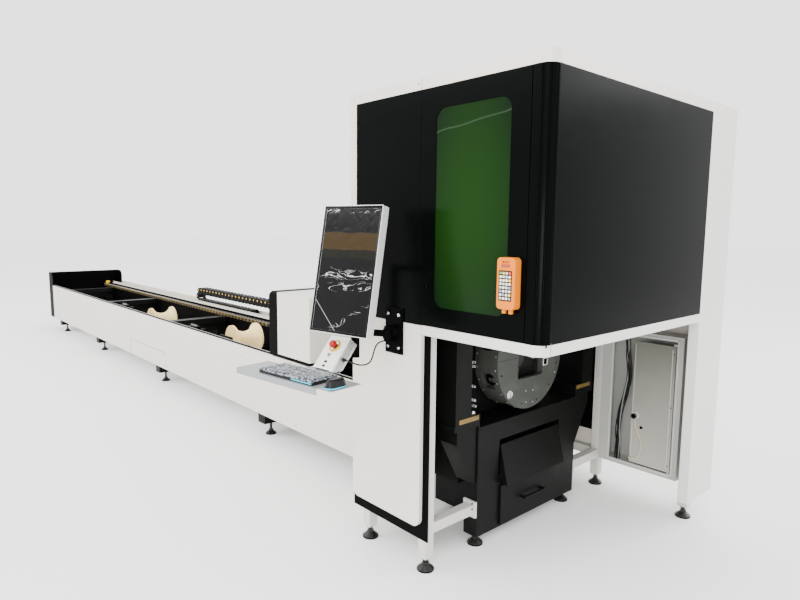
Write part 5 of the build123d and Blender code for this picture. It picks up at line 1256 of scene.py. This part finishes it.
# Cabinet skin: the small holes of the door, the joints of the roof's rim, the corner strip's beads
def make_cabinet_details():
    door_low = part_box("door_panel")[0]

    def holes(work):
        for x, z in ((END_X - 0.606, 1.997), (END_X - 0.614, 1.342)):
            add_disc(work, facing((x, door_low[1], z), TO_FRONT), 0.0065, 0.0004, 16)
        add_screw(work, facing((END_X, FRONT_Y + 0.023, 1.163), TO_END), 0.0055, 0.002)
        for x in (END_X - 1.118, END_X - 0.668):
            add_disc(work, facing((x, FRONT_Y, 2.196), TO_FRONT), 0.003, 0.0006, 10)

    add_piece("door_holes", holes, "front_door", "dark_and_hole_shade")

    def rim_joint(work):
        x = END_X - 0.651
        add_block(work, (x - 0.001, FRONT_Y - 0.0006, 2.172), (x + 0.001, FRONT_Y + 0.0004, 2.218),
                  0.0, segments=1)
        add_block(work, (END_X - 0.0004, FRONT_Y + 0.053, 1.124), (END_X + 0.0006, FRONT_Y + 0.055, 1.172),
                  0.0, segments=1)

    add_piece("roof_rim_joint", rim_joint, "machine", "joint_grey")

    def post_ridges(work):
        """Two fine upright beads on the corner strip."""
        low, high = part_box("corner_post")
        y = low[1] - 0.0006
        for x in (low[0] + 0.012, low[0] + 0.024):
            add_block(work, (x, y, low[2] + 0.004), (x + 0.003, y + 0.001, high[2] - 0.004), 0.0004,
                      segments=1)

    add_piece("corner_strip_beads", post_ridges, "machine", "black_gloss")


# Electrical cabinet: raised edges of its frame, beads, knob and small holes of its inner door
def make_electrical_details():
    door_low, door_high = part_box("electrical_door")
    knob_y = door_low[1]
    leaf_y = 0.9665

    def frame_edges(work):
        """Raised edges round the mouth, and three upright beads on the strip beside it."""
        left, right, low, high = 4.048, 4.446, 0.196, 0.984
        wide, out = 0.008, 0.004
        for a, b in (((left, low), (left + wide, high)), ((right - wide, low), (right, high)),
                     ((left, low), (right, low + wide)), ((left, high - wide), (right, high))):
            add_block(work, (a[0], BAY_FRONT_Y - out, a[1]), (b[0], BAY_FRONT_Y, b[1]), 0.0015)
        for x in (3.941, 3.955, 3.969):
            add_block(work, (x, 0.9612, 0.19), (x + 0.005, 0.9642, 1.118), 0.001)

    add_piece("frame_beads", frame_edges, "machine", "frame_paint")

    def door_beads(work):
        for left, right in ((door_high[0] - 0.020, door_high[0] - 0.016),
                            (door_low[0] + 0.006, door_low[0] + 0.009)):
            add_block(work, (left, 0.9655, 0.235), (right, 0.9668, 0.925), 0.0005)

    add_piece("inner_door_beads", door_beads, "electrical_door", "frame_paint")

    def knob_ring(work):
        add_turned(work, facing((4.213, leaf_y, 0.503), TO_FRONT),
                   [(0.016, 0.0), (0.021, 0.0), (0.021, 0.0018), (0.016, 0.0018)], 28)

    add_piece("knob_ring", knob_ring, "electrical_door", "white_paint")

    def dark_fittings(work):
        """The knob's black cap, a hole under it and three small holes in the edge."""
        add_turned(work, facing((4.213, knob_y, 0.503), TO_FRONT),
                   [(0.0, 0.0), (0.0155, 0.0), (0.0155, 0.0012), (0.0, 0.0016)], 24)
        add_disc(work, facing((4.250, leaf_y, 0.437), TO_FRONT), 0.009, 0.0006, 16)
        for z in (0.593, 0.900, 0.250):
            add_disc(work, facing((door_high[0] - 0.012, leaf_y, z), TO_FRONT), 0.004, 0.0006, 12)

    add_piece("inner_door_dark_fittings", dark_fittings, "electrical_door", "dark_and_hole_shade")


# Feet: a rubber ring under each pad, a hexagon nut on each stem
def foot_places():
    """The middle on the floor and the top of each foot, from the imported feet's vertices."""
    apart = 0.09
    points = [vertex.co for vertex in nodes["levelling_feet"].data.vertices]
    seeds = []
    for point in points:
        flat = Vector((point.x, point.y, 0))
        if not any((seed - flat).length < apart for seed in seeds):
            seeds.append(flat)
    feet = []
    for seed in seeds:
        near = [point for point in points if (Vector((point.x, point.y, 0)) - seed).length < apart]
        x, y = ((min(point[k] for point in near) + max(point[k] for point in near)) / 2 for k in (0, 1))
        feet.append((Vector((x, y, 0)), max(point.z for point in near)))
    return feet


def make_feet_details():
    feet = foot_places()

    def rubber(work):
        for middle, top in feet:
            add_turned(work, Matrix.Translation(middle),
                       [(0.0, 0.0), (0.0405, 0.0), (0.0415, 0.003), (0.0405, 0.0075), (0.0, 0.0075)], 28)

    add_piece("feet_rubber", rubber, "machine", "dark_and_hole_shade")

    def nuts(work):
        for middle, top in feet:
            for low, high in ((0.0285, 0.0385), (top - 0.012, top - 0.0005)):
                if high < top:
                    add_turned(work, Matrix.Translation(middle),
                               [(0.0105, low), (0.0165, low), (0.0175, low + 0.001),
                                (0.0175, high - 0.001), (0.0165, high), (0.0105, high)], 6)

    add_piece("feet_nuts", nuts, "machine", "foot_steel")


make_feet_details()
make_monitor()
make_control_box()
make_remote_keys()
make_keyboard_cover()
make_bracket_bolts()
make_chuck_details()
make_base_details()
make_chain()
make_bed_details()
make_cabinet_details()
make_electrical_details()


# Floor and light: a plain pale studio
def make_studio():
    floor_mesh = bpy.data.meshes.new("studio_floor")
    reach = 60.0
    floor_mesh.from_pydata([(-reach, -reach, 0), (reach, -reach, 0), (reach, reach, 0), (-reach, reach, 0)],
                           [], [(0, 1, 2, 3)])
    floor = bpy.data.objects.new("studio_floor", floor_mesh)
    bpy.context.scene.collection.objects.link(floor)
    shade = Shade("studio_floor")
    tone = shade.mix(shade.noise(0.4, 2.0), (0.94, 0.94, 0.935), (0.96, 0.96, 0.955))
    floor_mesh.materials.append(shade.done(color=tone, rough=0.6))
    world = bpy.data.worlds.new("studio_light")
    world.use_nodes = True
    sky = world.node_tree.nodes["Background"]
    sky.inputs["Color"].default_value = (1.0, 1.0, 1.0, 1.0)
    sky.inputs["Strength"].default_value = 2.6
    bpy.context.scene.world = world
    for name, place, aim, size, power in (
        ("front_light", (9.0, -9.0, 7.5), (3.5, -0.5, 1.2), 5.0, 900.0),
        ("bed_light", (-4.0, -9.0, 8.0), (-1.0, 0.0, 0.6), 6.0, 900.0),
        ("rear_light", (9.0, 8.0, 6.0), (4.5, 0.5, 1.2), 4.0, 450.0),
        ("chuck_light", (6.2, -3.4, 1.3), (4.0, 0.2, 0.85), 0.9, 60.0),
    ):
        data = bpy.data.lights.new(name, "AREA")
        data.size = size
        data.energy = power
        lamp = bpy.data.objects.new(name, data)
        lamp.location = place
        lamp.rotation_euler = (Vector(aim) - Vector(place)).to_track_quat("-Z", "Y").to_euler()
        bpy.context.scene.collection.objects.link(lamp)


make_studio()
